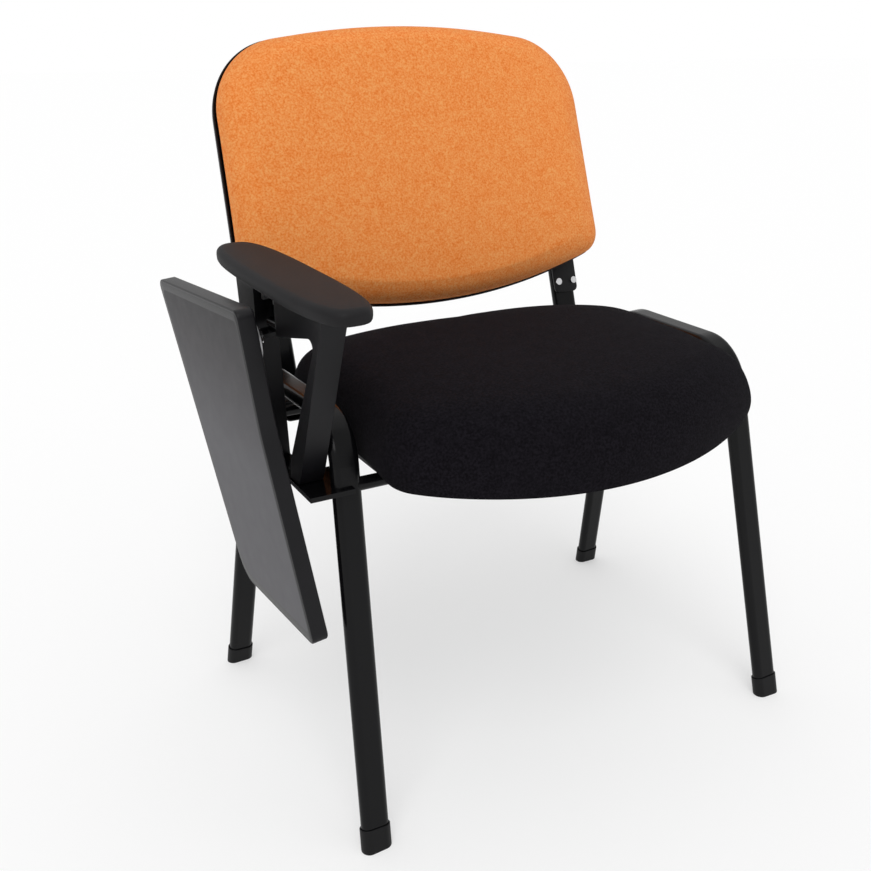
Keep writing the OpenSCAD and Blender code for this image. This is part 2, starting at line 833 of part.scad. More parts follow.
module hinge_bracket() {
    lug_z = pin_z - lug_drop;
    color("#9C9EA1") chair() difference() {
        arm_place() {
            translate([-arm_w * half, -hinge_half, hinge_plate_z])
                cube([arm_w, 2 * hinge_half, hinge_plate_t]);
            for (side = sides)
                translate([-lug_drop, side * (lug_y + lug_t * half) - lug_t * half, lug_z])
                    cube([2 * lug_drop, lug_t, hinge_plate_z - lug_z]);
        }
        arm_place() translate([0, 0, pin_z]) along_y(-tube_w, tube_w, pin_r + fit_gap);
        hinge_screw_places() cylinder(r = m5_r + fit_gap, h = tube_w, center = true);
    }
}

module hinge_screws() {
    color("#B9BBBD") chair() hinge_screw_places() {
        cylinder(r = m5_head_r, h = m5_head_h - half);
        translate([0, 0, -hinge_screw_len]) cylinder(r = m5_r, h = hinge_screw_len + half);
    }
}

module flip_pin() {
    face = lug_y + lug_t;
    color("#D5D6D8") chair() arm_place() translate([0, 0, pin_z]) difference() {
        union() {
            along_y(-face - pin_head_h, -face, pin_head_r);
            along_y(-face - half, face + nut_h + 1, pin_r);
        }
        translate([0, -face - pin_head_h * half, 0]) rotate([turn_quarter, 0, 0])
            cylinder(r = pin_r, h = pin_head_h, $fn = 6);
    }
}

module flip_nut() {
    face = lug_y + lug_t;
    color("#B9BBBD") chair() arm_place() translate([0, 0, pin_z]) difference() {
        translate([0, face + nut_h, 0]) rotate([turn_quarter, 0, 0])
            cylinder(r = nut_r, h = nut_h, $fn = 6);
        along_y(0, tube_w, pin_r + fit_gap);
    }
}

module flip_washers() {
    inner = barrel_half + fit_gap;
    color("#D9D6CC") chair() arm_place() translate([0, 0, pin_z]) difference() {
        for (side = sides) translate([0, side * (inner + washer_t * half), 0])
            along_y(-washer_t * half, washer_t * half, barrel_r);
        along_y(-tube_w, tube_w, pin_r + fit_gap);
    }
}

// The swing bolt's axis, with X outwards from the tablet's inner face to the pin.
module swing_axis() {
    translate([0, -swing_ahead, -swing_drop]) children();
}

module link() {
    web_top = web_z + flange_t;
    plate_x = flange_t * half;
    toe_y = -swing_ahead - flange_reach;
    head_z = -swing_drop + flange_reach - head_cut;
    foot_z = -swing_drop - flange_reach;
    color("#1A1A1C") chair() tablet_place() difference() {
        union() {
            along_y(-barrel_half, barrel_half, barrel_r);
            translate([-plate_x, -barrel_half, web_z])
                cube([flange_t, 2 * barrel_half, -web_z]);
            translate([clamp_x, 0, clamp_z]) along_y(-barrel_half, barrel_half, clamp_r);
            translate([flange_x, -barrel_half, web_z])
                cube([plate_x - flange_x, 2 * barrel_half, flange_t]);
            side_plate(flange_x, flange_x + flange_t,
                       rounded([[toe_y, head_z], [toe_y, foot_z], [barrel_half, foot_z],
                                [barrel_half, web_top], [-barrel_half, head_z]],
                               [flange_reach - 2, flange_reach - 2, 3, 2, 8]));
        }
        along_y(-tube_w, tube_w, pin_r + fit_gap);
        translate([clamp_x, 0, clamp_z]) along_y(-tube_w, barrel_half - 2, m6_r + fit_gap);
        swing_axis() along_x(flange_x - 1, flange_x + flange_t + 1, swing_r + fit_gap);
    }
}

// The socket bolt that clamps the link.
module clamp_bolt() {
    color("#D5D6D8") chair() tablet_place() translate([clamp_x, 0, clamp_z]) difference() {
        union() {
            along_y(-barrel_half - clamp_head_h, -barrel_half, clamp_r);
            along_y(-barrel_half - half, barrel_half - 3, m6_r);
        }
        translate([0, -barrel_half - clamp_head_h * half, 0]) rotate([turn_quarter, 0, 0])
            cylinder(r = m6_r, h = clamp_head_h, $fn = 6);
    }
}

module swing_washer() {
    color("#D9D6CC") chair() tablet_place() swing_axis() difference() {
        along_x(flange_x - swing_washer_t, flange_x, barrel_half);
        along_x(flange_x - 2 * swing_washer_t, flange_x + 1, swing_r + fit_gap);
    }
}

// Tablet

module mount_screw_places() {
    tablet_place() swing_axis() for (i = [0:3])
        rotate([turn_quarter * (i + half), 0, 0])
            translate([flange_x - swing_washer_t, mount_screw_r, 0])
                rotate([0, -turn_quarter, 0]) children();
}

module tablet_outline(e) {
    points = inset(tablet_points, e);
    radii = [for (i = [0:len(tablet_radii) - 1]) tablet_radii[i] + (i == 1 ? e : -e)];
    tablet_place() translate([0, tablet_mark[0], tablet_mark[1]]) rotate([-tablet_roll, 0, 0])
        side_plate(-tablet_gap - tablet_t, -tablet_gap, rounded(points, radii));
}

module tablet_board() {
    color("#5A595D") chair() difference() {
        tablet_outline(band_t);
        tablet_place() swing_axis()
            along_x(-tablet_gap - swing_depth - half, 0, swing_r + fit_gap);
        mount_screw_places() cylinder(r = m5_r + fit_gap, h = swing_depth + mount_plate_t);
    }
}

module tablet_band() {
    color("#1C1A1F") chair() difference() {
        tablet_outline(0);
        tablet_place() translate([0, tablet_mark[0], tablet_mark[1]])
            rotate([-tablet_roll, 0, 0])
                side_plate(-tablet_gap - 2 * tablet_t, 0,
                           rounded(inset(tablet_points, band_t),
                                   [for (i = [0:len(tablet_radii) - 1])
                                       tablet_radii[i] + (i == 1 ? band_t : -band_t)]));
    }
}

module tablet_plate() {
    color("#9C9EA1") chair() difference() {
        tablet_place() swing_axis()
            along_x(-tablet_gap, -tablet_gap + mount_plate_t, mount_plate_r);
        tablet_place() swing_axis() along_x(-2 * tablet_gap, 0, swing_r + fit_gap);
        mount_screw_places() {
            translate([0, 0, -fit_gap])
                cylinder(r1 = m5_head_r + 2 * fit_gap, r2 = m5_r + fit_gap,
                         h = mount_plate_t - half);
            cylinder(r = m5_r + fit_gap, h = 2 * mount_plate_t);
        }
    }
}

module tablet_screws() {
    color("#B9BBBD") chair() mount_screw_places() {
        cylinder(r1 = m5_head_r - fit_gap, r2 = m5_r, h = mount_plate_t - half - fit_gap);
        cylinder(r = m5_r, h = swing_depth);
    }
}

module swing_bolt() {
    color("#D5D6D8") chair() tablet_place() swing_axis() {
        along_x(flange_x + flange_t, flange_x + flange_t + swing_head_h, swing_head_r);
        along_x(-tablet_gap - swing_depth, flange_x + flange_t + half, swing_r);
    }
}

left_side_frame();
right_side_frame();
front_cross_tube();
rear_cross_tube();
foot_cap_front_left();
foot_cap_front_right();
foot_cap_rear_left();
foot_cap_rear_right();
seat_tabs();
seat_pan();
seat_board();
seat_cushion();
seat_screws();
back_shell();
back_board();
back_cushion();
back_screws();
tongue_screws();
upright_left();
upright_right();
upright_plugs();
arm_bracket();
arm_body();
arm_bolts();
arm_pad();
hinge_bracket();
hinge_screws();
flip_pin();
flip_nut();
link();
clamp_bolt();
flip_washers();
swing_washer();
tablet_board();
tablet_band();
tablet_plate();
tablet_screws();
swing_bolt();
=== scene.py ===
"""Looks of the training chair with a folding writing tablet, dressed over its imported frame."""

import logging
import math
from collections.abc import Callable
from dataclasses import dataclass
from enum import Enum

import bmesh
import bpy
import numpy as np
from mathutils import Matrix, Vector


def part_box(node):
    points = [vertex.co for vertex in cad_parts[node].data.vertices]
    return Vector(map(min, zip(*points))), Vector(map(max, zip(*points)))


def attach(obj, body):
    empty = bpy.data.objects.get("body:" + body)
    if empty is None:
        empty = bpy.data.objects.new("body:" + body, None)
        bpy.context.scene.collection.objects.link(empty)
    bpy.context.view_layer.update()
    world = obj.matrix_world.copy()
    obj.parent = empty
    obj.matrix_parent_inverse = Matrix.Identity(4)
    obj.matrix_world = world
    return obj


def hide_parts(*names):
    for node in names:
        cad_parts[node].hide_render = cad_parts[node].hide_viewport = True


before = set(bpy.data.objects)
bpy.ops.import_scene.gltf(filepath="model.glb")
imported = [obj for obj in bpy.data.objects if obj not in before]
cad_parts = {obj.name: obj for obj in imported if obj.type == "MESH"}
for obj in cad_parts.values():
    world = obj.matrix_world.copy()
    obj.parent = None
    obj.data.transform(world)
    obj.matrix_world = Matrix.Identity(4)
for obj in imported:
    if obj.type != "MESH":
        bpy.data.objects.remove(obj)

logger = logging.getLogger("training_chair")

Pair = tuple[float, float]
Triple = tuple[float, float, float]
Row = tuple[float, ...]
Section = tuple[Pair, ...]
Stops = tuple[tuple[float, Triple], ...]
Socket = bpy.types.NodeSocket
Piece = bpy.types.Object
Feed = Socket | float | Row

MM = 0.001
X_AXIS = np.array([1.0, 0.0, 0.0])
TINY = 1e-9

# How CAD meshes are cleaned and rounded
MERGE_MM = 0.002
FLAT_DEG = 0.4
BEVEL_DEG = 32.0
SHARP_DEG = 40.0
CREASE_DEG = 50.0

# How finely the outlines' corners and the cushions' faces and sides are drawn
CORNER_STEPS = 24
FACE_RINGS = 12
SIDE_RINGS = 16


class Body(Enum):
    """The moving bodies of the chair."""

    CHAIR = "chair"
    LINK = "link"
    TABLET = "tablet"


class Slot(Enum):
    """The record's material slots."""

    FRAME = "frame_black"
    CAP = "cap_black"
    SHELL = "shell_black"
    PLYWOOD = "plywood"
    SEAT = "seat_fabric"
    BACK = "back_fabric"
    ARM = "arm_plastic"
    PAD = "pad_plastic"
    TABLET = "tablet_face"
    EDGE = "tablet_edge"
    PLATE = "plate_steel"
    NYLON = "nylon"
    BRIGHT = "bright_steel"
    SCREW = "screw_steel"


class Nodes:
    """A short way to build the node tree of a material or a world."""

    def __init__(self, owner: bpy.types.ID, output: str = "ShaderNodeOutputMaterial") -> None:
        """Clears the owner's tree and adds its output.

        Args:
            owner: The material or world to build in.
            output: The output node's type name.
        """
        owner.use_nodes = True
        self.tree = owner.node_tree
        self.tree.nodes.clear()
        self.output = self.add(output)

    def feed(self, target: Socket, value: Feed) -> None:
        """Gives an input another node's output, a number or a row of numbers."""
        if isinstance(value, Socket):
            self.tree.links.new(value, target)
        else:
            target.default_value = value

    def add(
        self, kind: str, values: dict[str, Feed] | None = None, **settings: object
    ) -> bpy.types.Node:
        """Adds a node.

        Args:
            kind: The node's type name.
            values: What each named input gets.
            **settings: Attributes to set on the node.

        Returns:
            The new node.
        """
        node = self.tree.nodes.new(kind)
        for key, value in settings.items():
            setattr(node, key, value)
        for key, value in (values or {}).items():
            self.feed(node.inputs[key], value)
        return node

    def math(self, operation: str, first: Feed, second: Feed) -> Socket:
        """Adds a Math node.

        Args:
            operation: The operation's name.
            first: A socket or a number.
            second: A socket or a number.

        Returns:
            The node's output socket.
        """
        node = self.add("ShaderNodeMath", operation=operation)
        for target, value in zip(node.inputs, (first, second)):
            self.feed(target, value)
        return node.outputs[0]

    def sine(self, value: Socket, turns: float) -> Socket:
        """Returns the sine of a socket's value times a factor."""
        node = self.add("ShaderNodeMath", operation="SINE")
        self.feed(node.inputs[0], self.math("MULTIPLY", value, turns))
        return node.outputs[0]

    def place(self) -> Socket:
        """Returns the Object coordinates' socket."""
        return self.add("ShaderNodeTexCoord").outputs["Object"]

    def split(self, vector: Socket) -> bpy.types.Node:
        """Returns a node with the vector's X, Y and Z."""
        return self.add("ShaderNodeSeparateXYZ", {"Vector": vector})

    def noise(self, scale: float, detail: float, vector: Socket | None = None) -> Socket:
        """Adds a Noise texture, by default on Object coordinates, and returns its Fac socket."""
        values = {"Scale": scale, "Detail": detail, "Vector": vector or self.place()}
        return self.add("ShaderNodeTexNoise", values).outputs["Fac"]

    def ramp(self, factor: Socket, stops: Stops) -> Socket:
        """Adds a colour ramp.

        Args:
            factor: The socket that drives it.
            stops: Positions and colours.

        Returns:
            The ramp's colour socket.
        """
        node = self.add("ShaderNodeValToRGB")
        elements = node.color_ramp.elements
        while len(elements) < len(stops):
            elements.new(0.5)
        for element, (position, colour) in zip(elements, stops):
            element.position = position
            element.color = (*colour, 1.0)
        self.feed(node.inputs[0], factor)
        return node.outputs[0]

    def span(self, value: Socket, low: float, high: float) -> Socket:
        """Maps a 0 to 1 socket to the range from low to high."""
        values = {"Value": value, "To Min": low, "To Max": high}
        return self.add("ShaderNodeMapRange", values).outputs[0]

    def bump(self, height: Socket, depth_mm: float) -> Socket:
        """Adds a Bump node of full strength and returns its normal socket."""
        values = {"Height": height, "Distance": depth_mm * MM, "Strength": 1.0}
        return self.add("ShaderNodeBump", values).outputs[0]

    def surface(self, values: dict[str, Feed]) -> None:
        """Adds the Principled shader with these inputs and joins it to the output."""
        shader = self.add("ShaderNodeBsdfPrincipled", values)
        self.feed(self.output.inputs["Surface"], shader.outputs[0])


def mottled(colour: Triple, spread: float, places: Pair) -> Stops:
    """Returns a ramp's stops: a shade darker by the spread's share, and one as much lighter."""
    factors = (1.0 - spread, 1.0 + spread)
    return tuple((place, tuple(min(1.0, c * factor) for c in colour))
                 for place, factor in zip(places, factors))


@dataclass(frozen=True)
class Finish:
    """A procedural finish."""

    name: str

    def paint(self, nodes: Nodes) -> None:
        """Fills in the nodes."""
        raise NotImplementedError

    def build(self) -> bpy.types.Material:
        """Returns the finish's material."""
        material = bpy.data.materials.new(self.name)
        self.paint(Nodes(material))
        return material


@dataclass(frozen=True)
class Metal(Finish):
    """A bare or painted metal: noise in its tone and gloss, and a little in its height."""

    colour: Triple
    roughness: float
    metallic: float = 1.0
    coat: float = 0.0
    grain_mm: float = 0.02
    grain_scale: float = 180.0
    specular: float = 0.5
    broad_scale: float = 14.0
    mottle: float = 0.15
    places: Pair = (0.3, 0.7)
    gloss: Pair = (-0.06, 0.08)
    coat_roughness: float = 0.12

    def paint(self, nodes: Nodes) -> None:
        """Fills in the nodes."""
        fine = nodes.noise(self.grain_scale, detail=4.0)
        broad = nodes.noise(self.broad_scale, detail=2.0)
        blend = nodes.math("MULTIPLY", nodes.math("ADD", fine, broad), 0.5)
        nodes.surface({
            "Base Color": nodes.ramp(blend, mottled(self.colour, self.mottle, self.places)),
            "Roughness": nodes.span(blend, *(self.roughness + step for step in self.gloss)),
            "Metallic": self.metallic,
            "Specular IOR Level": self.specular,
            "Coat Weight": self.coat,
            "Coat Roughness": self.coat_roughness,
            "Normal": nodes.bump(fine, self.grain_mm),
        })


@dataclass(frozen=True)
class Plastic(Finish):
    """A moulded plastic: a fine spark-eroded grain and a faint mottle in the colour."""

    colour: Triple
    roughness: float
    grain_scale: float = 1400.0
    grain_mm: float = 0.06
    mottle: float = 0.12
    specular: float = 0.22
    broad_scale: float = 22.0
    places: Pair = (0.35, 0.65)
    gloss: Pair = (-0.05, 0.07)

    def paint(self, nodes: Nodes) -> None:
        """Fills in the nodes."""
        grain = nodes.noise(self.grain_scale, detail=3.0)
        broad = nodes.noise(self.broad_scale, detail=3.0)
        nodes.surface({
            "Base Color": nodes.ramp(broad, mottled(self.colour, self.mottle, self.places)),
            "Roughness": nodes.span(grain, *(self.roughness + step for step in self.gloss)),
            "Specular IOR Level": self.specular,
            "Normal": nodes.bump(grain, self.grain_mm),
        })


@dataclass(frozen=True)
class Cloth(Finish):
    """A plain weave on the piece's own weave coordinates.

    The product of a sine wave across and one along raises the warp and the weft in turn. The
    colour follows that height with a fine noise for flecks and a broad one for uneven yarn.
    """

    colours: tuple[Triple, Triple, Triple]
    sheen: float
    specular: float = 0.08
    roughness: float = 0.9
    sheen_roughness: float = 0.5
    yarn_mm: float = 1.6
    depth_mm: float = 0.35
    fleck_scale: float = 430.0
    patch_scale: float = 70.0
    height_share: float = 0.35
    fleck_share: float = 0.9
    patch_share: float = 0.2
    fleck_rise: float = 0.4
    places: Triple = (0.42, 0.66, 0.90)

    def paint(self, nodes: Nodes) -> None:
        """Fills in the nodes."""
        weave = nodes.add("ShaderNodeAttribute", attribute_name="weave")
        split = nodes.split(weave.outputs["Vector"])
        turns = 2 * math.pi / (self.yarn_mm * MM)
        waves = (nodes.sine(split.outputs[axis], turns) for axis in "XY")
        crossing = nodes.math("MULTIPLY", *waves)
        height = nodes.math("ADD", nodes.math("MULTIPLY", crossing, 0.5), 0.5)
        fleck = nodes.noise(self.fleck_scale, detail=2.0)
        patch = nodes.noise(self.patch_scale, detail=3.0)
        level = nodes.math("ADD", nodes.math("MULTIPLY", height, self.height_share),
                           nodes.math("MULTIPLY", fleck, self.fleck_share))
        level = nodes.math("ADD", level, nodes.math("MULTIPLY", patch, self.patch_share))
        rise = nodes.math("ADD", height, nodes.math("MULTIPLY", fleck, self.fleck_rise))
        nodes.surface({
            "Base Color": nodes.ramp(level, tuple(zip(self.places, self.colours))),
            "Roughness": self.roughness,
            "Specular IOR Level": self.specular,
            "Sheen Weight": self.sheen,
            "Sheen Roughness": self.sheen_roughness,
            "Normal": nodes.bump(rise, self.depth_mm),
        })


@dataclass(frozen=True)
class Laminate(Finish):
    """The tablet's grey laminate, with painted shade that darkens it towards its top edge, and
    faint flecks.
    """

    board: str = "tablet_board"
    # Grey up to half the board's height, then painted shade that darkens to near black at the top
    # edge.
    stops: Stops = ((0.0, (0.082, 0.080, 0.088)), (0.5, (0.082, 0.081, 0.089)),
                    (0.82, (0.034, 0.031, 0.035)), (1.0, (0.014, 0.013, 0.015)))
    specular: float = 0.15
    roughness: Pair = (0.42, 0.52)
    gloss_scale: float = 60.0
    fleck_scale: float = 420.0
    fleck_share: float = 0.10
    grain_scale: float = 1200.0
    grain_mm: float = 0.04

    def paint(self, nodes: Nodes) -> None:
        """Fills in the nodes. The tone darkens with the height on the board at rest: painted
        shade.
        """
        low, high = (corner[2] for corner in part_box(self.board))
        height = nodes.add("ShaderNodeMapRange", {
            "Value": nodes.split(nodes.place()).outputs["Z"], "From Min": low, "From Max": high,
        })
        fleck = nodes.math("MULTIPLY", nodes.noise(self.fleck_scale, detail=5.0), self.fleck_share)
        shift = nodes.math("SUBTRACT", fleck, self.fleck_share / 2)
        level = nodes.math("ADD", height.outputs[0], shift)
        gloss = nodes.noise(self.gloss_scale, detail=4.0)
        grain = nodes.noise(self.grain_scale, detail=2.0)
        nodes.surface({
            "Base Color": nodes.ramp(level, self.stops),
            "Roughness": nodes.span(gloss, *self.roughness),
            "Specular IOR Level": self.specular,
            "Normal": nodes.bump(grain, self.grain_mm),
        })


@dataclass(frozen=True)
class Plywood(Finish):
    """Plywood: a grain stretched along X, with plies up the edge."""

    stops: Stops = ((0.3, (0.34, 0.18, 0.08)), (0.7, (0.55, 0.34, 0.17)))
    stretch: Triple = (1.0, 14.0, 40.0)
    grain_scale: float = 9.0
    grain_mm: float = 0.2
    roughness: float = 0.7

    def paint(self, nodes: Nodes) -> None:
        """Fills in the nodes."""
        mapping = nodes.add("ShaderNodeMapping", {"Vector": nodes.place(), "Scale": self.stretch})
        grain = nodes.noise(self.grain_scale, detail=5.0, vector=mapping.outputs[0])
        nodes.surface({
            "Base Color": nodes.ramp(grain, self.stops),
            "Roughness": self.roughness,
            "Normal": nodes.bump(grain, self.grain_mm),
        })


FINISHES = {
    Slot.FRAME: Metal("frame paint", (0.0025, 0.0025, 0.003), 0.22, metallic=0.0, coat=0.08,
                      grain_mm=0.04, grain_scale=90.0, specular=0.14),
    Slot.CAP: Plastic("cap plastic", (0.003, 0.003, 0.0035), 0.5),
    Slot.SHELL: Plastic("shell plastic", (0.006, 0.006, 0.007), 0.40),
    Slot.PLYWOOD: Plywood("plywood"),
    Slot.SEAT: Cloth("seat cloth", ((0.003, 0.0026, 0.0035), (0.0055, 0.0047, 0.0065),
                                    (0.012, 0.0105, 0.014)), sheen=0.012, specular=0.03),
    Slot.BACK: Cloth("back cloth", ((0.78, 0.165, 0.022), (0.90, 0.25, 0.045),
                                    (0.93, 0.42, 0.14)), sheen=0.05),
    Slot.ARM: Plastic("arm plastic", (0.006, 0.0057, 0.007), 0.38),
    Slot.PAD: Plastic("pad skin", (0.009, 0.0085, 0.0095), 0.6, grain_scale=900.0, grain_mm=0.1),
    Slot.TABLET: Laminate("tablet laminate with painted shade"),
    Slot.EDGE: Plastic("tablet edge", (0.006, 0.0057, 0.007), 0.36),
    Slot.PLATE: Metal("plate steel", (0.42, 0.42, 0.43), 0.32),
    Slot.NYLON: Plastic("nylon", (0.65, 0.63, 0.58), 0.5),
    Slot.BRIGHT: Metal("bright steel", (0.78, 0.78, 0.79), 0.14),
    Slot.SCREW: Metal("screw steel", (0.50, 0.50, 0.51), 0.34),
}


class Finishes:
    """Makes each finish once and hands it out by slot."""

    def __init__(self) -> None:
        """Builds every finish of the chair."""
        self.by_slot = {slot: finish.build() for slot, finish in FINISHES.items()}

    def dress(self, piece: Piece, slot: Slot) -> None:
        """Gives a piece the one finish of a slot."""
        piece.data.materials.clear()
        piece.data.materials.append(self.by_slot[slot])


class ChairSpace:
    """Turns the chair's own millimetres, with X = 0 on the seat's middle, into frame metres."""

    seat_board_rear: float = 161.5

    def __init__(self) -> None:
        """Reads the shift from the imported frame."""
        low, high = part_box("front_cross_tube")
        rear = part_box("seat_board")[1].y - self.seat_board_rear * MM
        self.shift = np.array([(low.x + high.x) / 2, rear, 0.0])

    def points(self, places: np.ndarray) -> np.ndarray:
        """Returns places, given in millimetres, in the frame's metres."""
        return places * MM + self.shift


def arc(centre: Pair, radius: float, start: float, stop: float, steps: int) -> np.ndarray:
    """Returns points along an arc, with its angles in degrees."""
    angles = np.radians(np.linspace(start, stop, steps))
    return np.array(centre) + radius * np.column_stack([np.cos(angles), np.sin(angles)])


def evenly(points: np.ndarray, count: int) -> np.ndarray:
    """Returns a closed outline resampled at equal steps along its length."""
    closed = np.vstack([points, points[:1]])
    steps = np.linalg.norm(np.diff(closed, axis=0), axis=1)
    run = np.concatenate([[0.0], np.cumsum(steps)])
    targets = np.linspace(0.0, run[-1], count, endpoint=False)
    return np.column_stack([np.interp(targets, run, closed[:, k]) for k in (0, 1)])


def smooth_step(value: np.ndarray, low: float, high: float) -> np.ndarray:
    """Returns 0 below low, 1 above high and 3t² - 2t³ between them."""
    t = np.clip((value - low) / (high - low), 0.0, 1.0)
    return t * t * (3.0 - 2.0 * t)


@dataclass(frozen=True)
class Edge:
    """One end of an outline: its bow's radius, its middle's place, half width and corners."""

    bow: float
    at: float
    half: float
    corner: float


def corner_arcs(low: Edge, high: Edge) -> np.ndarray:
    """Builds an outline of a bowed lower edge, two straight sides and an upper edge.

    Each corner is an arc inside the bow's circle that touches both the bow and the side.

    Args:
        low: The lower edge.
        high: The upper edge, with an infinite bow where it is straight.

    Returns:
        The right half from the lowest point round to the highest, then the left half back.
    """
    low_x, high_x = low.half - low.corner, high.half - high.corner
    low_bow = low.at + low.bow
    low_y = low_bow - math.sqrt((low.bow - low.corner) ** 2 - low_x**2)
    low_turn = math.degrees(math.atan2(low_y - low_bow, low_x))
    parts = [arc((0, low_bow), low.bow, -90, low_turn, steps=24),
             arc((low_x, low_y), low.corner, low_turn, 0, steps=14)]
    if math.isinf(high.bow):
        parts.append(arc((high_x, high.at - high.corner), high.corner, 0, 90, steps=20))
        parts.append(np.array([[0.0, high.at]]))
    else:
        high_bow = high.at - high.bow
        high_y = high_bow + math.sqrt((high.bow - high.corner) ** 2 - high_x**2)
        high_turn = math.degrees(math.atan2(high_y - high_bow, high_x))
        parts.append(arc((high_x, high_y), high.corner, 0, high_turn, steps=20))
        parts.append(arc((0, high_bow), high.bow, high_turn, 90, steps=16))
    right = np.vstack(parts)
    left = right[::-1] * [-1, 1]
    return np.vstack([right, left[1:-1]])


def rounded_corners(points: np.ndarray, radii: Row) -> np.ndarray:
    """Builds an outline whose corners are arcs that touch both of their sides.

    Each arc's centre is on the corner's bisector, the radius over the sine of half the corner's
    angle away.
    """
    parts = []
    for i, radius in enumerate(radii):
        corner = points[i]
        back, ahead = points[i - 1] - corner, points[(i + 1) % len(points)] - corner
        back, ahead = back / np.linalg.norm(back), ahead / np.linalg.norm(ahead)
        half = math.acos(float(back @ ahead)) / 2
        bisector = (back + ahead) / np.linalg.norm(back + ahead)
        centre = corner + bisector * radius / math.sin(half)
        start, stop = (corner + side * radius / math.tan(half) - centre for side in (back, ahead))
        first = math.atan2(start[1], start[0])
        sweep = (math.atan2(stop[1], stop[0]) - first + math.pi) % (2 * math.pi) - math.pi
        angles = first + sweep * np.linspace(0, 1, CORNER_STEPS)
        parts.append(centre + radius * np.column_stack([np.cos(angles), np.sin(angles)]))
    return np.vstack(parts)


def pulled_in(outline: np.ndarray, distance: float) -> np.ndarray:
    """Returns an anticlockwise outline moved inwards along its own normals."""
    along = np.roll(outline, -1, axis=0) - np.roll(outline, 1, axis=0)
    along /= np.linalg.norm(along, axis=1, keepdims=True)
    return outline + np.column_stack([-along[:, 1], along[:, 0]]) * distance


def shown(name: str, data: bpy.types.ID) -> Piece:
    """Returns a new object of the scene that holds this data."""
    item = bpy.data.objects.new(name, data)
    bpy.context.scene.collection.objects.link(item)
    return item


def skin(name: str, rings: list[np.ndarray], first: np.ndarray, last: np.ndarray) -> Piece:
    """Builds a closed mesh over rings of points with a middle point at each end.

    Point i of ring k is vertex k * count + i. A side face joins points i and i + 1 of a ring to
    the same two of the next ring, and a triangle joins them to the middle point at each end.

    Args:
        name: The object's name.
        rings: Rings of equally many points, in metres.
        first: The point that closes the first ring.
        last: The point that closes the last ring.

    Returns:
        The new object, at the origin.
    """
    levels, count = len(rings), len(rings[0])
    here = np.arange(count)
    ahead = (here + 1) % count
    base = count * np.arange(levels - 1)[:, None]
    up = base + count
    sides = np.stack([base + here, base + ahead, up + ahead, up + here], axis=-1)
    top, bottom = np.full(count, levels * count), np.full(count, levels * count + 1)
    tail = (levels - 1) * count
    ends = np.stack([top, ahead, here, bottom, tail + here, tail + ahead], axis=-1)
    faces = [*sides.reshape(-1, 4).tolist(), *ends.reshape(-1, 3).tolist()]
    mesh = bpy.data.meshes.new(name)
    mesh.from_pydata(np.vstack([*rings, first, last]).tolist(), [], faces)
    mesh.update()
    edit = bmesh.new()
    edit.from_mesh(mesh)
    bmesh.ops.recalc_face_normals(edit, faces=edit.faces)
    edit.to_mesh(mesh)
    edit.free()
    mesh.shade_smooth()
    return shown(name, mesh)


def rows(items: bpy.types.bpy_prop_collection, name: str = "co") -> np.ndarray:
    """Returns the items' points, or another attribute of three numbers, as rows."""
    flat = np.zeros(len(items) * 3)
    items.foreach_get(name, flat)
    return flat.reshape(-1, 3)


def baked(piece: Piece) -> None:
    """Applies a piece's modifiers to its mesh."""
    graph = bpy.context.evaluated_depsgraph_get()
    mesh = bpy.data.meshes.new_from_object(piece.evaluated_get(graph))
    piece.modifiers.clear()
    piece.data = mesh


@dataclass(frozen=True)
class Padding:
    """How a cushion is filled and swollen."""

    pressure: float = 4.0
    quality: int = 4
    frames: int = 20
    cap_mm: float = 4.0
    rounds: int = 12


def evened(moves: np.ndarray, mesh: bpy.types.Mesh, rounds: int) -> np.ndarray:
    """Returns the moves of a mesh's vertices, each one averaged with its neighbours' in rounds."""
    ends = np.empty(len(mesh.edges) * 2, dtype=np.int64)
    mesh.edges.foreach_get("vertices", ends)
    first, second = ends[0::2], ends[1::2]
    met = np.bincount(ends, minlength=len(moves))[:, None]
    for _ in range(rounds):
        total = np.zeros_like(moves)
        np.add.at(total, first, moves[second])
        np.add.at(total, second, moves[first])
        moves = (moves + total / met) / 2
    return moves


def swell(
    piece: Piece, padding: Padding, freedom: Callable[[np.ndarray], np.ndarray]
) -> None:
    """Swells a cushion with a cloth simulation and applies the result, once subdivided.

    Args:
        piece: The cushion's mesh object.
        padding: The pressure, the frames, the cap and how often the moves are evened out.
        freedom: A function of the points that gives each one's freedom, from 0 held to 1 free.
    """
    start = rows(piece.data.vertices)
    cloth = piece.modifiers.new("filling", "CLOTH")
    cloth.settings.use_pressure = True
    cloth.settings.uniform_pressure_force = padding.pressure
    cloth.settings.effector_weights.gravity = 0.0
    cloth.settings.quality = padding.quality
    scene = bpy.context.scene
    for step in range(1, padding.frames + 1):
        scene.frame_set(step)
    baked(piece)
    moved = rows(piece.data.vertices) - start
    length = np.linalg.norm(moved, axis=1, keepdims=True)
    logger.info("%s moves %.4f on average, %.4f at most", piece.name, length.mean(), length.max())
    moved *= np.minimum(1.0, padding.cap_mm * MM / np.maximum(length, TINY))
    moved = evened(moved * freedom(start)[:, None], piece.data, padding.rounds)
    piece.data.vertices.foreach_set("co", (start + moved).ravel())
    piece.data.update()
    scene.frame_set(1)
    fine = piece.modifiers.new("fine surface", "SUBSURF")
    fine.levels = fine.render_levels = 1
    baked(piece)
    piece.data.shade_smooth()


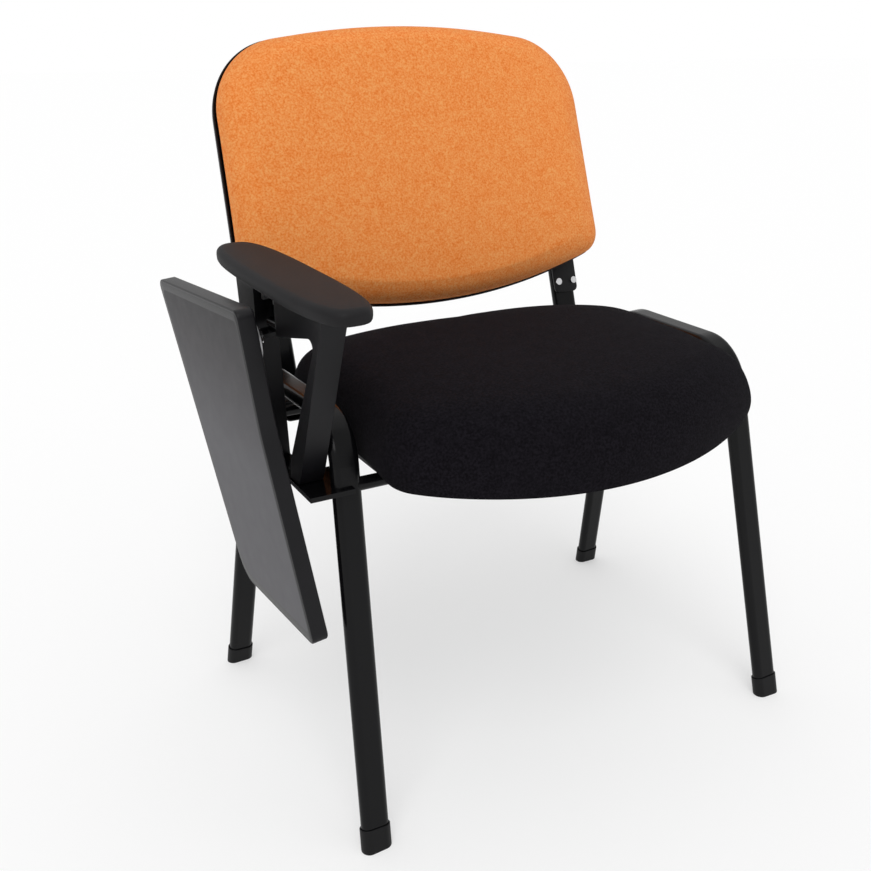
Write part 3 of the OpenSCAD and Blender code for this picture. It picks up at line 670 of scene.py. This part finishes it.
def weave_along(piece: Piece, across: np.ndarray, up: np.ndarray, out: np.ndarray) -> None:
    """Writes the cloth's own coordinates: flat across the face and carried on down the sides.

    A point's place along each direction grows by its depth below the face times its normal's
    share in that direction.

    Args:
        piece: The cushion.
        across: Direction of the weft on the face.
        up: Direction of the warp on the face.
        out: The face's outward direction.
    """
    mesh = piece.data
    points, normals = rows(mesh.vertices), rows(mesh.vertex_normals, "vector")
    depth = (points @ out).max() - points @ out
    weave = np.zeros((len(points), 3), np.float32)
    for column, way in enumerate((across, up)):
        weave[:, column] = points @ way + normals @ way * depth
    attribute = mesh.attributes.new("weave", "FLOAT_VECTOR", "POINT")
    attribute.data.foreach_set("vector", weave.ravel())


@dataclass
class SeatCushion:
    """The seat's upholstery, in the chair's millimetres: a crown, soft sides and a rolled nose."""

    space: ChairSpace
    finishes: Finishes
    half: float = 228.0
    front: float = -223.0
    rear: float = 176.0
    bow_r: float = 390.0
    front_r: float = 36.0
    rear_r: float = 80.0
    crown_y: float = 50.0
    crown_z: float = 464.0
    rear_fall: float = 23.0
    front_fall: float = 14.0
    front_run: float = 220.0
    side_fall: float = 12.0
    side_z: float = 409.0
    nose_z: float = 391.0
    nose_run: Pair = (60.0, 180.0)
    hem_z: float = 385.0
    nose_hem_z: float = 361.0
    nose_hem_rise: float = 14.0
    top_share_x: float = 0.85
    top_share_nose: float = 0.77
    top_share_rear: float = 0.84
    face_shares: Pair = (0.08, 0.92)
    hem_shares: Section = ((0.3, 0.4), (0.6, 1.6), (0.85, 3.0), (1.0, 5.0))
    under_shares: Row = (0.75, 0.5, 0.25)
    heel_inset: float = 8.0
    heel_drop: float = 0.2
    lip_lift: float = 0.5
    pan_inset: float = 10.5
    under_z: float = 391.3
    slack: float = 0.6
    free_rise: Pair = (4.0, 30.0)
    nose_free_z: Pair = (368.0, 382.0)
    nose_free_y: float = 60.0
    nose_free_run: float = 30.0
    count: int = 240
    padding: Padding = Padding()

    def outline(self) -> np.ndarray:
        """Returns the plan outline, evenly sampled."""
        low = Edge(self.bow_r, self.front, self.half, self.front_r)
        high = Edge(math.inf, self.rear, self.half, self.rear_r)
        return evenly(corner_arcs(low, high), self.count)

    def nose(self, y: np.ndarray) -> np.ndarray:
        """Returns how far points are into the nose, from 0 to 1."""
        return smooth_step(-y, *self.nose_run)

    def top(self, flat: np.ndarray) -> np.ndarray:
        """Returns the top's height: a crown behind the middle that falls to every side.

        It falls with the square of the way from the crown to the rear or the front, and with the
        cube of the way to the sides.
        """
        x, y = flat.T
        rear = self.rear_fall * ((y - self.crown_y) / (self.rear - self.crown_y)) ** 2
        front = self.front_fall * ((self.crown_y - y) / self.front_run) ** 2
        fall = np.where(y > self.crown_y, rear, front)
        return self.crown_z - fall - self.side_fall * (np.abs(x) / self.half) ** 3

    def rings(self, shrink: float) -> list[np.ndarray]:
        """Works out the cushion's rings.

        Args:
            shrink: How much smaller the start is than the finished cushion.

        Returns:
            The rings from the top's middle round to the underside's.
        """
        outer = pulled_in(self.outline(), shrink)
        nose, rear = ((self.top_share_x, y) for y in (self.top_share_nose, self.top_share_rear))
        inner = outer * np.where(outer[:, 1:] < 0, [nose], [rear])
        rings = []
        for share in np.linspace(*self.face_shares, FACE_RINGS):
            flat = inner * share
            rings.append(np.column_stack([flat, self.top(flat) - shrink]))
        high = self.top(inner) - shrink
        low = self.side_z + (self.nose_z - self.side_z) * self.nose(outer[:, 1])
        for angle in np.radians(np.linspace(90, 0, SIDE_RINGS)):
            flat = inner + (outer - inner) * math.cos(angle)
            rings.append(np.column_stack([flat, low + (high - low) * math.sin(angle)]))
        hem = self.hem_z + self.nose(outer[:, 1]) * (
            self.nose_hem_z - self.hem_z + self.nose_hem_rise * (outer[:, 0] / self.half) ** 2
        )
        for share, inset in self.hem_shares:
            rings.append(np.column_stack([pulled_in(outer, inset), low + (hem - low) * share]))
        plain, under = self.outline(), np.full(self.count, self.under_z)
        lip = pulled_in(plain, self.pan_inset)
        heel = pulled_in(plain, self.heel_inset)
        rings.append(np.column_stack([heel, hem - self.heel_drop]))
        rings.append(np.column_stack([lip, hem + self.lip_lift]))
        rings += [np.column_stack([lip * share, under]) for share in (1.0, *self.under_shares)]
        return rings

    def freedom(self, points: np.ndarray) -> np.ndarray:
        """Holds the underside and lets the top and the nose swell."""
        _, y, z = ((points - self.space.shift) / MM).T
        side = smooth_step(z, *(self.hem_z + rise for rise in self.free_rise))
        front = smooth_step(self.front + self.nose_free_y - y, 0.0, self.nose_free_run)
        return np.maximum(side, front * smooth_step(z, *self.nose_free_z))

    def build(self) -> Piece:
        """Builds, swells and dresses the cushion."""
        shrink = self.slack
        rings = [self.space.points(ring) for ring in self.rings(shrink)]
        first = self.space.points(np.array([0, 0, self.crown_z - shrink]))
        last = self.space.points(np.array([0, 0, self.under_z]))
        piece = skin("seat_upholstery", rings, first, last)
        swell(piece, self.padding, self.freedom)
        weave_along(piece, *np.eye(3))
        self.finishes.dress(piece, Slot.SEAT)
        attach(piece, Body.CHAIR.value)
        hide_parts("seat_cushion")
        return piece


@dataclass
class Backrest:
    """The back's upholstery and rear shell, in a plane that reclines, in millimetres.

    A place on it is (x, s) in the plane, and its depth runs rearward. A section's rows are the
    inset from the outline and the depth.
    """

    space: ChairSpace
    finishes: Finishes
    base: Triple = (0.0, 200.0, 520.0)
    recline: float = 17.35
    half_low: float = 250.0
    half_high: float = 245.0
    bottom: float = -57.0
    top: float = 281.0
    low_bow: float = 726.0
    high_bow: float = 990.0
    low_r: float = 25.0
    high_r: float = 92.0
    crown: float = 34.0
    lumbar: float = 60.0
    side_flat: float = 0.12
    end_flat: float = 0.1
    face_share: float = 0.86
    face_shares: Pair = (0.07, 0.93)
    wide_y: float = -9.0
    rear_y: float = 4.05
    edge_section: Section = ((0.3, -8.0), (0.9, -4.5), (2.0, -1.6), (3.4, 0.0))
    heel_inset: float = 3.6
    heel_drop: float = 0.5
    under_inset: float = 4.0
    under_shares: Row = (1.0, 0.75, 0.5, 0.25)
    slack: float = -2.6
    slack_depth: float = 8.0
    free_depth: float = 6.0
    proud: float = 1.0
    shell_depth: float = 19.5
    floor_t: float = 3.0
    floor_inset: float = 9.0
    floor_shares: Row = (0.25, 0.5, 0.75, 1.0)
    rear_inset: float = 12.0
    rear_shares: Row = (1.0, 0.8, 0.6, 0.4, 0.2)
    rim_section: Section = ((6.5, 16.0), (5.5, 14.5), (5.5, 9.3), (0.9, 8.9), (0.5, 8.0),
                                     (0.5, 0.9), (0.0, 0.45), (-1.0, 0.3), (-2.0, 0.5))
    rim_drop: float = 1.3
    roll_in: float = 11.0
    roll_start: float = 5.0
    roll_deep: float = 14.0
    roll_turn: float = 80.0
    roll_rings: int = 12
    tongue_x: float = 208.0
    tongue_half: float = 18.0
    tongue_ends: Pair = (-68.0, -20.0)
    tongue_r: float = 7.0
    tongue_t: float = 4.0
    tongue_ease: Section = ((1.0, 0.0), (0.3, 0.3), (0.0, 1.0))
    count: int = 240
    padding: Padding = Padding()

    def outline(self) -> np.ndarray:
        """Returns the outline in the back's plane, evenly sampled."""
        low = Edge(self.low_bow, self.bottom, self.half_low, self.low_r)
        high = Edge(self.high_bow, self.top, self.half_high, self.high_r)
        return evenly(corner_arcs(low, high), self.count)

    def axes(self) -> tuple[np.ndarray, np.ndarray]:
        """Returns the plane's upward and rearward directions."""
        lean = math.radians(self.recline)
        up = np.array([0.0, math.sin(lean), math.cos(lean)])
        return up, np.array([0.0, math.cos(lean), -math.sin(lean)])

    def place(self, flat: np.ndarray, depth: np.ndarray | float) -> np.ndarray:
        """Returns points of the plane, at one depth or each at its own, in the frame's metres."""
        up, rear = self.axes()
        depths = np.broadcast_to(np.asarray(depth, float), (len(flat),))
        places = np.array(self.base) + flat[:, :1] * X_AXIS + flat[:, 1:] * up
        return self.space.points(places + depths[:, None] * rear)

    def scaled(self, outline: np.ndarray, share: float) -> np.ndarray:
        """Returns an outline scaled about the back's middle."""
        middle = np.array([0.0, (self.top + self.bottom) / 2])
        return middle + (outline - middle) * share

    def centre(self) -> np.ndarray:
        """Returns the back's middle as an outline of one point."""
        return self.scaled(np.zeros((1, 2)), 0.0)

    def face(self, flat: np.ndarray) -> np.ndarray:
        """Returns the face's depth, fullest at the lumbar height and flatter to the sides.

        The crown loses a share that grows with the square of the way to the side, and one that
        grows with the square of the way from the lumbar height to the ends.
        """
        run = self.top - self.bottom - self.lumbar / 2
        wide = 1 - self.side_flat * (flat[:, 0] / self.half_low) ** 2
        tall = 1 - self.end_flat * ((flat[:, 1] - self.lumbar) / run) ** 2
        return -self.crown * wide * tall

    def freedom(self, points: np.ndarray) -> np.ndarray:
        """Holds the side that sits in the shell and lets the face swell."""
        ahead = -(points - self.space.points(np.array(self.base))) @ self.axes()[1]
        return smooth_step(ahead, 0.0, self.free_depth * MM)

    def upholstery(self) -> Piece:
        """Builds, swells and dresses the cushion."""
        shrink = self.slack
        plain, centre = self.outline(), self.centre()
        outer = pulled_in(plain, shrink)
        rings = []
        for share in np.linspace(*self.face_shares, FACE_RINGS):
            flat = self.scaled(outer, share * self.face_share)
            rings.append(self.place(flat, self.face(flat) + shrink))
        inner = self.scaled(outer, self.face_share)
        high = self.face(inner) + shrink
        for angle in np.radians(np.linspace(90, 0, SIDE_RINGS)):
            flat = inner + (outer - inner) * math.cos(angle)
            rings.append(self.place(flat, self.wide_y + (high - self.wide_y) * math.sin(angle)))
        for inset, depth in (*self.edge_section, (self.heel_inset, self.rear_y - self.heel_drop)):
            inset += shrink * max(0.0, -depth / self.slack_depth)
            rings.append(self.place(pulled_in(plain, inset), depth))
        lip = pulled_in(plain, self.under_inset)
        rings += [self.place(self.scaled(lip, share), self.rear_y) for share in self.under_shares]
        first = self.place(centre, self.face(centre) + shrink)[0]
        piece = skin("back_upholstery", rings, first, self.place(centre, self.rear_y)[0])
        swell(piece, self.padding, self.freedom)
        up, rear = self.axes()
        weave_along(piece, X_AXIS, up, -rear)
        self.finishes.dress(piece, Slot.BACK)
        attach(piece, Body.CHAIR.value)
        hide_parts("back_cushion")
        return piece

    def tongue(self, side: int) -> Piece:
        """Builds one tongue of the shell, which hangs below its edge on an upright."""
        middle, radius = side * self.tongue_x, self.tongue_r
        low, high = self.tongue_ends
        left, right = middle - self.tongue_half, middle + self.tongue_half
        outline = np.vstack([
            arc((right - radius, low + radius), radius, -90, 0, steps=8),
            np.array([[right, high], [left, high]]),
            arc((left + radius, low + radius), radius, 180, 270, steps=8),
        ])
        front, rear = self.shell_depth - self.tongue_t, self.shell_depth
        section = [(inset, front + step) for inset, step in self.tongue_ease]
        section += [(inset, rear - step) for inset, step in reversed(self.tongue_ease)]
        rings = [self.place(pulled_in(outline, inset), depth) for inset, depth in section]
        centre = np.array([[middle, (low + high) / 2]])
        return skin("tongue", rings, self.place(centre, front)[0], self.place(centre, rear)[0])

    def shell(self) -> Piece:
        """Builds the moulded rear shell: its floor, its rim, its round side and two tongues."""
        plain, centre = self.outline(), self.centre()
        floor = self.shell_depth - self.floor_t
        inner, outer = pulled_in(plain, self.floor_inset), pulled_in(plain, self.rear_inset)
        section = [*self.rim_section, (-self.proud, self.rim_drop)]
        for a in np.radians(np.linspace(0, self.roll_turn, self.roll_rings)):
            inset = self.roll_in * (1 - math.cos(a)) - self.proud
            section.append((inset, self.roll_start + self.roll_deep * math.sin(a)))
        rings = [self.place(self.scaled(inner, share), floor) for share in self.floor_shares]
        rings += [self.place(pulled_in(plain, inset), depth) for inset, depth in section]
        rings += [self.place(self.scaled(outer, share), self.shell_depth)
                  for share in self.rear_shares]
        first, last = (self.place(centre, depth)[0] for depth in (floor, self.shell_depth))
        piece = skin("back_moulding", rings, first, last)
        whole = bmesh.new()
        whole.from_mesh(piece.data)
        for side in (1, -1):
            tongue = self.tongue(side)
            whole.from_mesh(tongue.data)
            bpy.data.objects.remove(tongue)
        whole.to_mesh(piece.data)
        whole.free()
        piece.data.shade_smooth()
        piece.data.set_sharp_from_angle(angle=math.radians(CREASE_DEG))
        self.finishes.dress(piece, Slot.SHELL)
        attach(piece, Body.CHAIR.value)
        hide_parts("back_shell")
        return piece


@dataclass
class ArmPad:
    """The moulded pad on the arm: a rounded oblong with a soft upper edge, in millimetres.

    A section's rows are the inset from the outline and the height above the pad's underside.
    """

    space: ChairSpace
    finishes: Finishes
    length: float = 294.0
    width: float = 64.0
    thickness: float = 15.0
    centre: Triple = (-280.5, -50.0, 559.5)
    pin: Pair = (-280.5, -18.0)
    toe: float = 2.4
    rise: float = 2.7
    power: float = 0.64
    low_section: Section = ((12.0, 0.0), (6.0, 0.0), (3.0, 0.25), (1.2, 1.1), (0.3, 2.8),
                                     (0.0, 5.0), (0.0, 8.0))
    round_in: float = 9.0
    round_start: float = 8.0
    round_rise: float = 6.6
    round_turn: Pair = (10.0, 90.0)
    round_rings: int = 9
    crest: Pair = (13.0, 14.85)
    flat_insets: Pair = (19.0, 26.0)
    count: int = 192

    def ring(self, inset: float, height: float) -> np.ndarray:
        """Returns a rounded outline: each half size times a power of the cosine or sine."""
        a = np.linspace(0, 2 * math.pi, self.count, endpoint=False)
        x = (self.width / 2 - inset) * np.sign(np.cos(a)) * np.abs(np.cos(a)) ** self.power
        y = (self.length / 2 - inset) * np.sign(np.sin(a)) * np.abs(np.sin(a)) ** self.power
        return np.column_stack([x, y, np.full(self.count, height)])

    def place(self, points: np.ndarray) -> np.ndarray:
        """Returns the pad's points tilted, then turned about the pin, in the frame's metres."""
        tilt = np.array(Matrix.Rotation(math.radians(self.rise), 3, "X"))
        turn = np.array(Matrix.Rotation(math.radians(self.toe), 3, "Z"))
        pin = np.array([*self.pin, 0.0])
        return self.space.points((points @ tilt.T + (self.centre - pin)) @ turn.T + pin)

    def build(self) -> Piece:
        """Builds and dresses the pad."""
        section = list(self.low_section)
        for angle in np.radians(np.linspace(*self.round_turn, self.round_rings)):
            height = self.round_start + self.round_rise * math.sin(angle)
            section.append((self.round_in * (1 - math.cos(angle)), height))
        section += [self.crest, *((inset, self.thickness) for inset in self.flat_insets)]
        rings = [self.place(self.ring(inset, height)) for inset, height in section]
        ends = (self.place(np.array([[0.0, 0.0, height]]))[0] for height in (0.0, self.thickness))
        piece = skin("arm_pad_moulding", rings, *ends)
        self.finishes.dress(piece, Slot.PAD)
        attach(piece, Body.CHAIR.value)
        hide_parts("arm_pad")
        return piece


@dataclass(frozen=True)
class Rounding:
    """A CAD node shown with its sharp edges rounded."""

    node: str
    name: str
    slot: Slot
    width_mm: float
    segments: int = 3
    body: Body = Body.CHAIR

    def build(self, finishes: Finishes) -> Piece:
        """Copies, rounds and dresses the piece."""
        piece = clean_copy(self.node, self.name)
        soften(piece, self.width_mm * MM, self.segments)
        finishes.dress(piece, self.slot)
        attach(piece, self.body.value)
        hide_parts(self.node)
        return piece


ROUNDED = [
    Rounding("arm_body", "arm_moulding", Slot.ARM, 2.2, 4),
    Rounding("arm_bracket", "arm_bracket_plate", Slot.FRAME, 0.6, 2),
    *(Rounding(f"foot_cap_{end}_{side}", f"{end}_{side}_foot", Slot.CAP, 0.9)
      for end in ("front", "rear") for side in ("left", "right")),
    Rounding("seat_pan", "seat_pan_moulding", Slot.SHELL, 1.0),
    Rounding("hinge_bracket", "hinge_bracket_plate", Slot.PLATE, 0.5, 2),
    Rounding("link", "link_casting", Slot.FRAME, 0.6, 2, Body.LINK),
]

NODE_SLOTS = {
    Slot.FRAME: ["left_side_frame", "right_side_frame", "front_cross_tube", "rear_cross_tube",
                 "seat_tabs", "upright_left", "upright_right"],
    Slot.CAP: ["upright_plugs"],
    Slot.PLYWOOD: ["seat_board", "back_board"],
    Slot.NYLON: ["flip_washers", "swing_washer"],
    Slot.PLATE: ["tablet_plate"],
    Slot.BRIGHT: ["tongue_screws", "flip_pin", "clamp_bolt", "swing_bolt"],
    Slot.SCREW: ["seat_screws", "back_screws", "arm_bolts", "hinge_screws", "flip_nut",
                 "tablet_screws"],
}


def clean_copy(node: str, name: str) -> Piece:
    """Returns a copy of a CAD node's mesh, its flat faces made whole."""
    edit = bmesh.new()
    edit.from_mesh(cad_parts[node].data)
    bmesh.ops.remove_doubles(edit, verts=edit.verts, dist=MERGE_MM * MM)
    bmesh.ops.dissolve_limit(edit, angle_limit=math.radians(FLAT_DEG), verts=edit.verts,
                             edges=edit.edges, delimit={"NORMAL"})
    mesh = bpy.data.meshes.new(name)
    edit.to_mesh(mesh)
    edit.free()
    return shown(name, mesh)


def soften(piece: Piece, width: float, segments: int) -> None:
    """Rounds a piece's sharp edges to this width in metres and shades it smooth."""
    bevel = piece.modifiers.new("rounded edges", "BEVEL")
    bevel.width = width
    bevel.segments = segments
    bevel.limit_method = "ANGLE"
    bevel.angle_limit = math.radians(BEVEL_DEG)
    bevel.use_clamp_overlap = True
    bevel.harden_normals = False
    baked(piece)
    piece.data.shade_smooth()
    piece.data.set_sharp_from_angle(angle=math.radians(SHARP_DEG))
    piece.modifiers.new("face normals", "WEIGHTED_NORMAL").keep_sharp = True
    baked(piece)


@dataclass
class Tablet:
    """The writing tablet: a laminate board with a dark band, eased all round, in millimetres.

    A place on it is (y, z) from the flip pin before the tablet's lean, and its depth runs outward
    from the arm.
    """

    space: ChairSpace
    finishes: Finishes
    pin: Triple = (-280.5, -18.0, 548.0)
    gap: float = 43.5
    thickness: float = 16.7
    lean: float = 5.0
    toe: float = 2.4
    roll: float = 3.3
    mark: Pair = (-47.4, 6.5)
    points: Section = (
        (-12.0, 0.0), (-15.0, -115.0), (-51.0, -326.0), (143.0, -326.0), (240.0, 0.0),
    )
    radii: Row = (9.0, 200.0, 9.0, 34.0, 9.0)
    ease_r: float = 1.8
    ease_rings: int = 7
    joint_section: Section = ((2.2, 0.0), (2.5, 0.15), (2.8, 0.0))
    face_shares: Row = (0.95, 0.8, 0.6, 0.4, 0.2)
    count: int = 720

    def outline(self) -> np.ndarray:
        """Returns the rounded outline in the tablet's own plane, evenly sampled."""
        roll = math.radians(self.roll)
        turn = np.array([[math.cos(roll), math.sin(roll)], [-math.sin(roll), math.cos(roll)]])
        flat = rounded_corners(np.array(self.points), self.radii)
        return evenly(flat @ turn.T + np.array(self.mark), self.count)

    def axes(self) -> np.ndarray:
        """Returns the tablet's own axes as columns: inward, along and up."""
        turn = Matrix.Rotation(math.radians(self.toe), 3, "Z")
        return np.array(turn @ Matrix.Rotation(math.radians(-self.lean), 3, "Y"))

    def place(self, flat: np.ndarray, depth: float) -> np.ndarray:
        """Returns places of the plane, at a depth outward of the pin, in the frame's metres."""
        local = np.column_stack([np.full(len(flat), -depth), flat])
        return self.space.points(local @ self.axes().T + np.array(self.pin))

    def face(self, outline: np.ndarray, depth: float, way: int) -> list[np.ndarray]:
        """Returns a face's rings from the fine joint at its edge inwards.

        The joint is sunk outwards where way is 1 and inwards where it is -1.
        """
        middle = outline.mean(axis=0)
        edge = pulled_in(outline, self.joint_section[-1][0])
        joint = [self.place(pulled_in(outline, inset), depth + way * sink)
                 for inset, sink in self.joint_section]
        return joint + [self.place(middle + (edge - middle) * share, depth)
                        for share in self.face_shares]

    def build(self) -> Piece:
        """Builds and dresses the slab: an eased band between two laminate faces.

        The band's finish begins at the deepest line of the inner face's joint and ends at the
        first ring inside the outer face's joint.
        """
        outline = self.outline()
        inner, outer = self.gap, self.gap + self.thickness
        ease = [(self.ease_r * (1 - math.sin(a)), self.ease_r * (1 - math.cos(a)))
                for a in np.radians(np.linspace(0, 90, self.ease_rings))]
        section = [(inset, inner + drop) for inset, drop in ease]
        section += [(inset, outer - drop) for inset, drop in reversed(ease)]
        front, back = self.face(outline, inner, 1), self.face(outline, outer, -1)
        side = [self.place(pulled_in(outline, inset), depth) for inset, depth in section]
        middle = outline.mean(axis=0)[None, :]
        ends = (self.place(middle, depth)[0] for depth in (inner, outer))
        piece = skin("tablet_slab", front[::-1] + side + back, *ends)
        piece.data.shade_smooth()
        piece.data.set_sharp_from_angle(angle=math.radians(CREASE_DEG))
        self.finishes.dress(piece, Slot.TABLET)
        piece.data.materials.append(self.finishes.by_slot[Slot.EDGE])
        first = len(front) - len(self.joint_section)
        last = len(front) + len(side) + len(self.joint_section) - 1
        ring = np.arange(len(piece.data.polygons)) // self.count
        band = ((ring > first) & (ring <= last)).astype(int)
        piece.data.polygons.foreach_set("material_index", band)
        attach(piece, Body.TABLET.value)
        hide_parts("tablet_board", "tablet_band")
        return piece


@dataclass(frozen=True)
class Sun:
    """A far, soft lamp: where its light comes from, its strength and the width of its disc."""

    name: str
    source: Triple
    strength: float
    width_deg: float


@dataclass(frozen=True)
class Studio:
    """The pale room round the chair: a floor that keeps its soft shadow, two lamps and a glow."""

    suns: tuple[Sun, ...] = (
        Sun("key", (-0.8, -1.3, 2.0), 1.05, 40.0),
        Sun("top", (0.25, 0.3, 2.0), 0.25, 60.0),
    )
    reach: float = 60.0
    floor_tone: float = 0.95
    floor_glow: float = 0.4
    room_light: float = 0.70

    def floor(self) -> None:
        """Lays the floor, which glows a little to the camera and in reflections."""
        mesh = bpy.data.meshes.new("floor")
        r = self.reach
        mesh.from_pydata([(-r, -r, 0), (r, -r, 0), (r, r, 0), (-r, r, 0)], [], [(0, 1, 2, 3)])
        piece = shown("floor", mesh)
        material = bpy.data.materials.new("studio floor")
        nodes = Nodes(material)
        matt = nodes.add("ShaderNodeBsdfDiffuse", {"Color": (*[self.floor_tone] * 3, 1.0)})
        glow = nodes.add("ShaderNodeEmission", {"Color": (1.0, 1.0, 1.0, 1.0)})
        path = nodes.add("ShaderNodeLightPath").outputs
        seen = nodes.math("MAXIMUM", path["Is Camera Ray"], path["Is Glossy Ray"])
        blend = nodes.add("ShaderNodeMixShader")
        parts = (nodes.math("MULTIPLY", seen, self.floor_glow), matt.outputs[0], glow.outputs[0])
        for target, value in zip(blend.inputs, parts):
            nodes.feed(target, value)
        nodes.feed(nodes.output.inputs["Surface"], blend.outputs[0])
        piece.data.materials.append(material)

    def light(self) -> None:
        """Adds the lamps and an even room, which is white to the camera."""
        for sun in self.suns:
            data = bpy.data.lights.new(sun.name, "SUN")
            data.energy = sun.strength
            data.angle = math.radians(sun.width_deg)
            way = -Vector(sun.source)
            shown(sun.name, data).rotation_euler = way.to_track_quat("-Z", "Y").to_euler()
        world = bpy.data.worlds.new("studio")
        bpy.context.scene.world = world
        nodes = Nodes(world, "ShaderNodeOutputWorld")
        seen = nodes.add("ShaderNodeLightPath").outputs["Is Camera Ray"]
        strength = nodes.span(seen, self.room_light, 1.0)
        values = {"Color": (1.0, 1.0, 1.0, 1.0), "Strength": strength}
        room = nodes.add("ShaderNodeBackground", values)
        nodes.feed(nodes.output.inputs["Surface"], room.outputs[0])
        bpy.context.scene.view_settings.view_transform = "Standard"


@dataclass(frozen=True)
class PhotoCamera:
    """The camera that took the photograph, in the chair's own millimetres."""

    focal_px: float = 1010.148
    picture_px: float = 871.0
    centre_px: Pair = (453.399, 439.778)
    eye: Triple = (-587.607, -933.644, 760.416)
    right: Triple = (0.875915, -0.482309, -0.012272)
    up: Triple = (0.182925, 0.308456, 0.933485)
    sensor_mm: float = 36.0
    clip_m: Pair = (0.01, 100.0)

    def build(self, space: ChairSpace) -> None:
        """Sets the scene's camera at the photograph's place and angle."""
        data = bpy.data.cameras.new("photo camera")
        data.sensor_width = self.sensor_mm
        data.lens = self.focal_px / self.picture_px * self.sensor_mm
        half = self.picture_px / 2
        data.shift_x = (half - self.centre_px[0]) / self.picture_px
        data.shift_y = (self.centre_px[1] - half) / self.picture_px
        data.clip_start, data.clip_end = self.clip_m
        right, up = Vector(self.right).normalized(), Vector(self.up).normalized()
        turn = Matrix((right, up, right.cross(up))).transposed().to_4x4()
        item = shown("photo camera", data)
        item.matrix_world = Matrix.Translation(Vector(space.points(np.array(self.eye)))) @ turn
        bpy.context.scene.camera = item


def main() -> None:
    """Builds the chair's looks, the studio and the camera, and reports each piece."""
    logging.basicConfig(level=logging.INFO, format="%(name)s: %(message)s")
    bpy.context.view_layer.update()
    space = ChairSpace()
    finishes = Finishes()
    back = Backrest(space, finishes)
    pieces = [
        SeatCushion(space, finishes).build(),
        back.upholstery(),
        back.shell(),
        ArmPad(space, finishes).build(),
        *(rounding.build(finishes) for rounding in ROUNDED),
        Tablet(space, finishes).build(),
    ]
    for slot, names in NODE_SLOTS.items():
        for name in names:
            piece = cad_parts[name]
            finishes.dress(piece, slot)
            pieces.append(piece)
    for piece in pieces:
        logger.info("%s has %d faces", piece.name, len(piece.data.polygons))
    studio = Studio()
    studio.floor()
    studio.light()
    PhotoCamera().build(space)


if __name__ == "__main__":
    main()
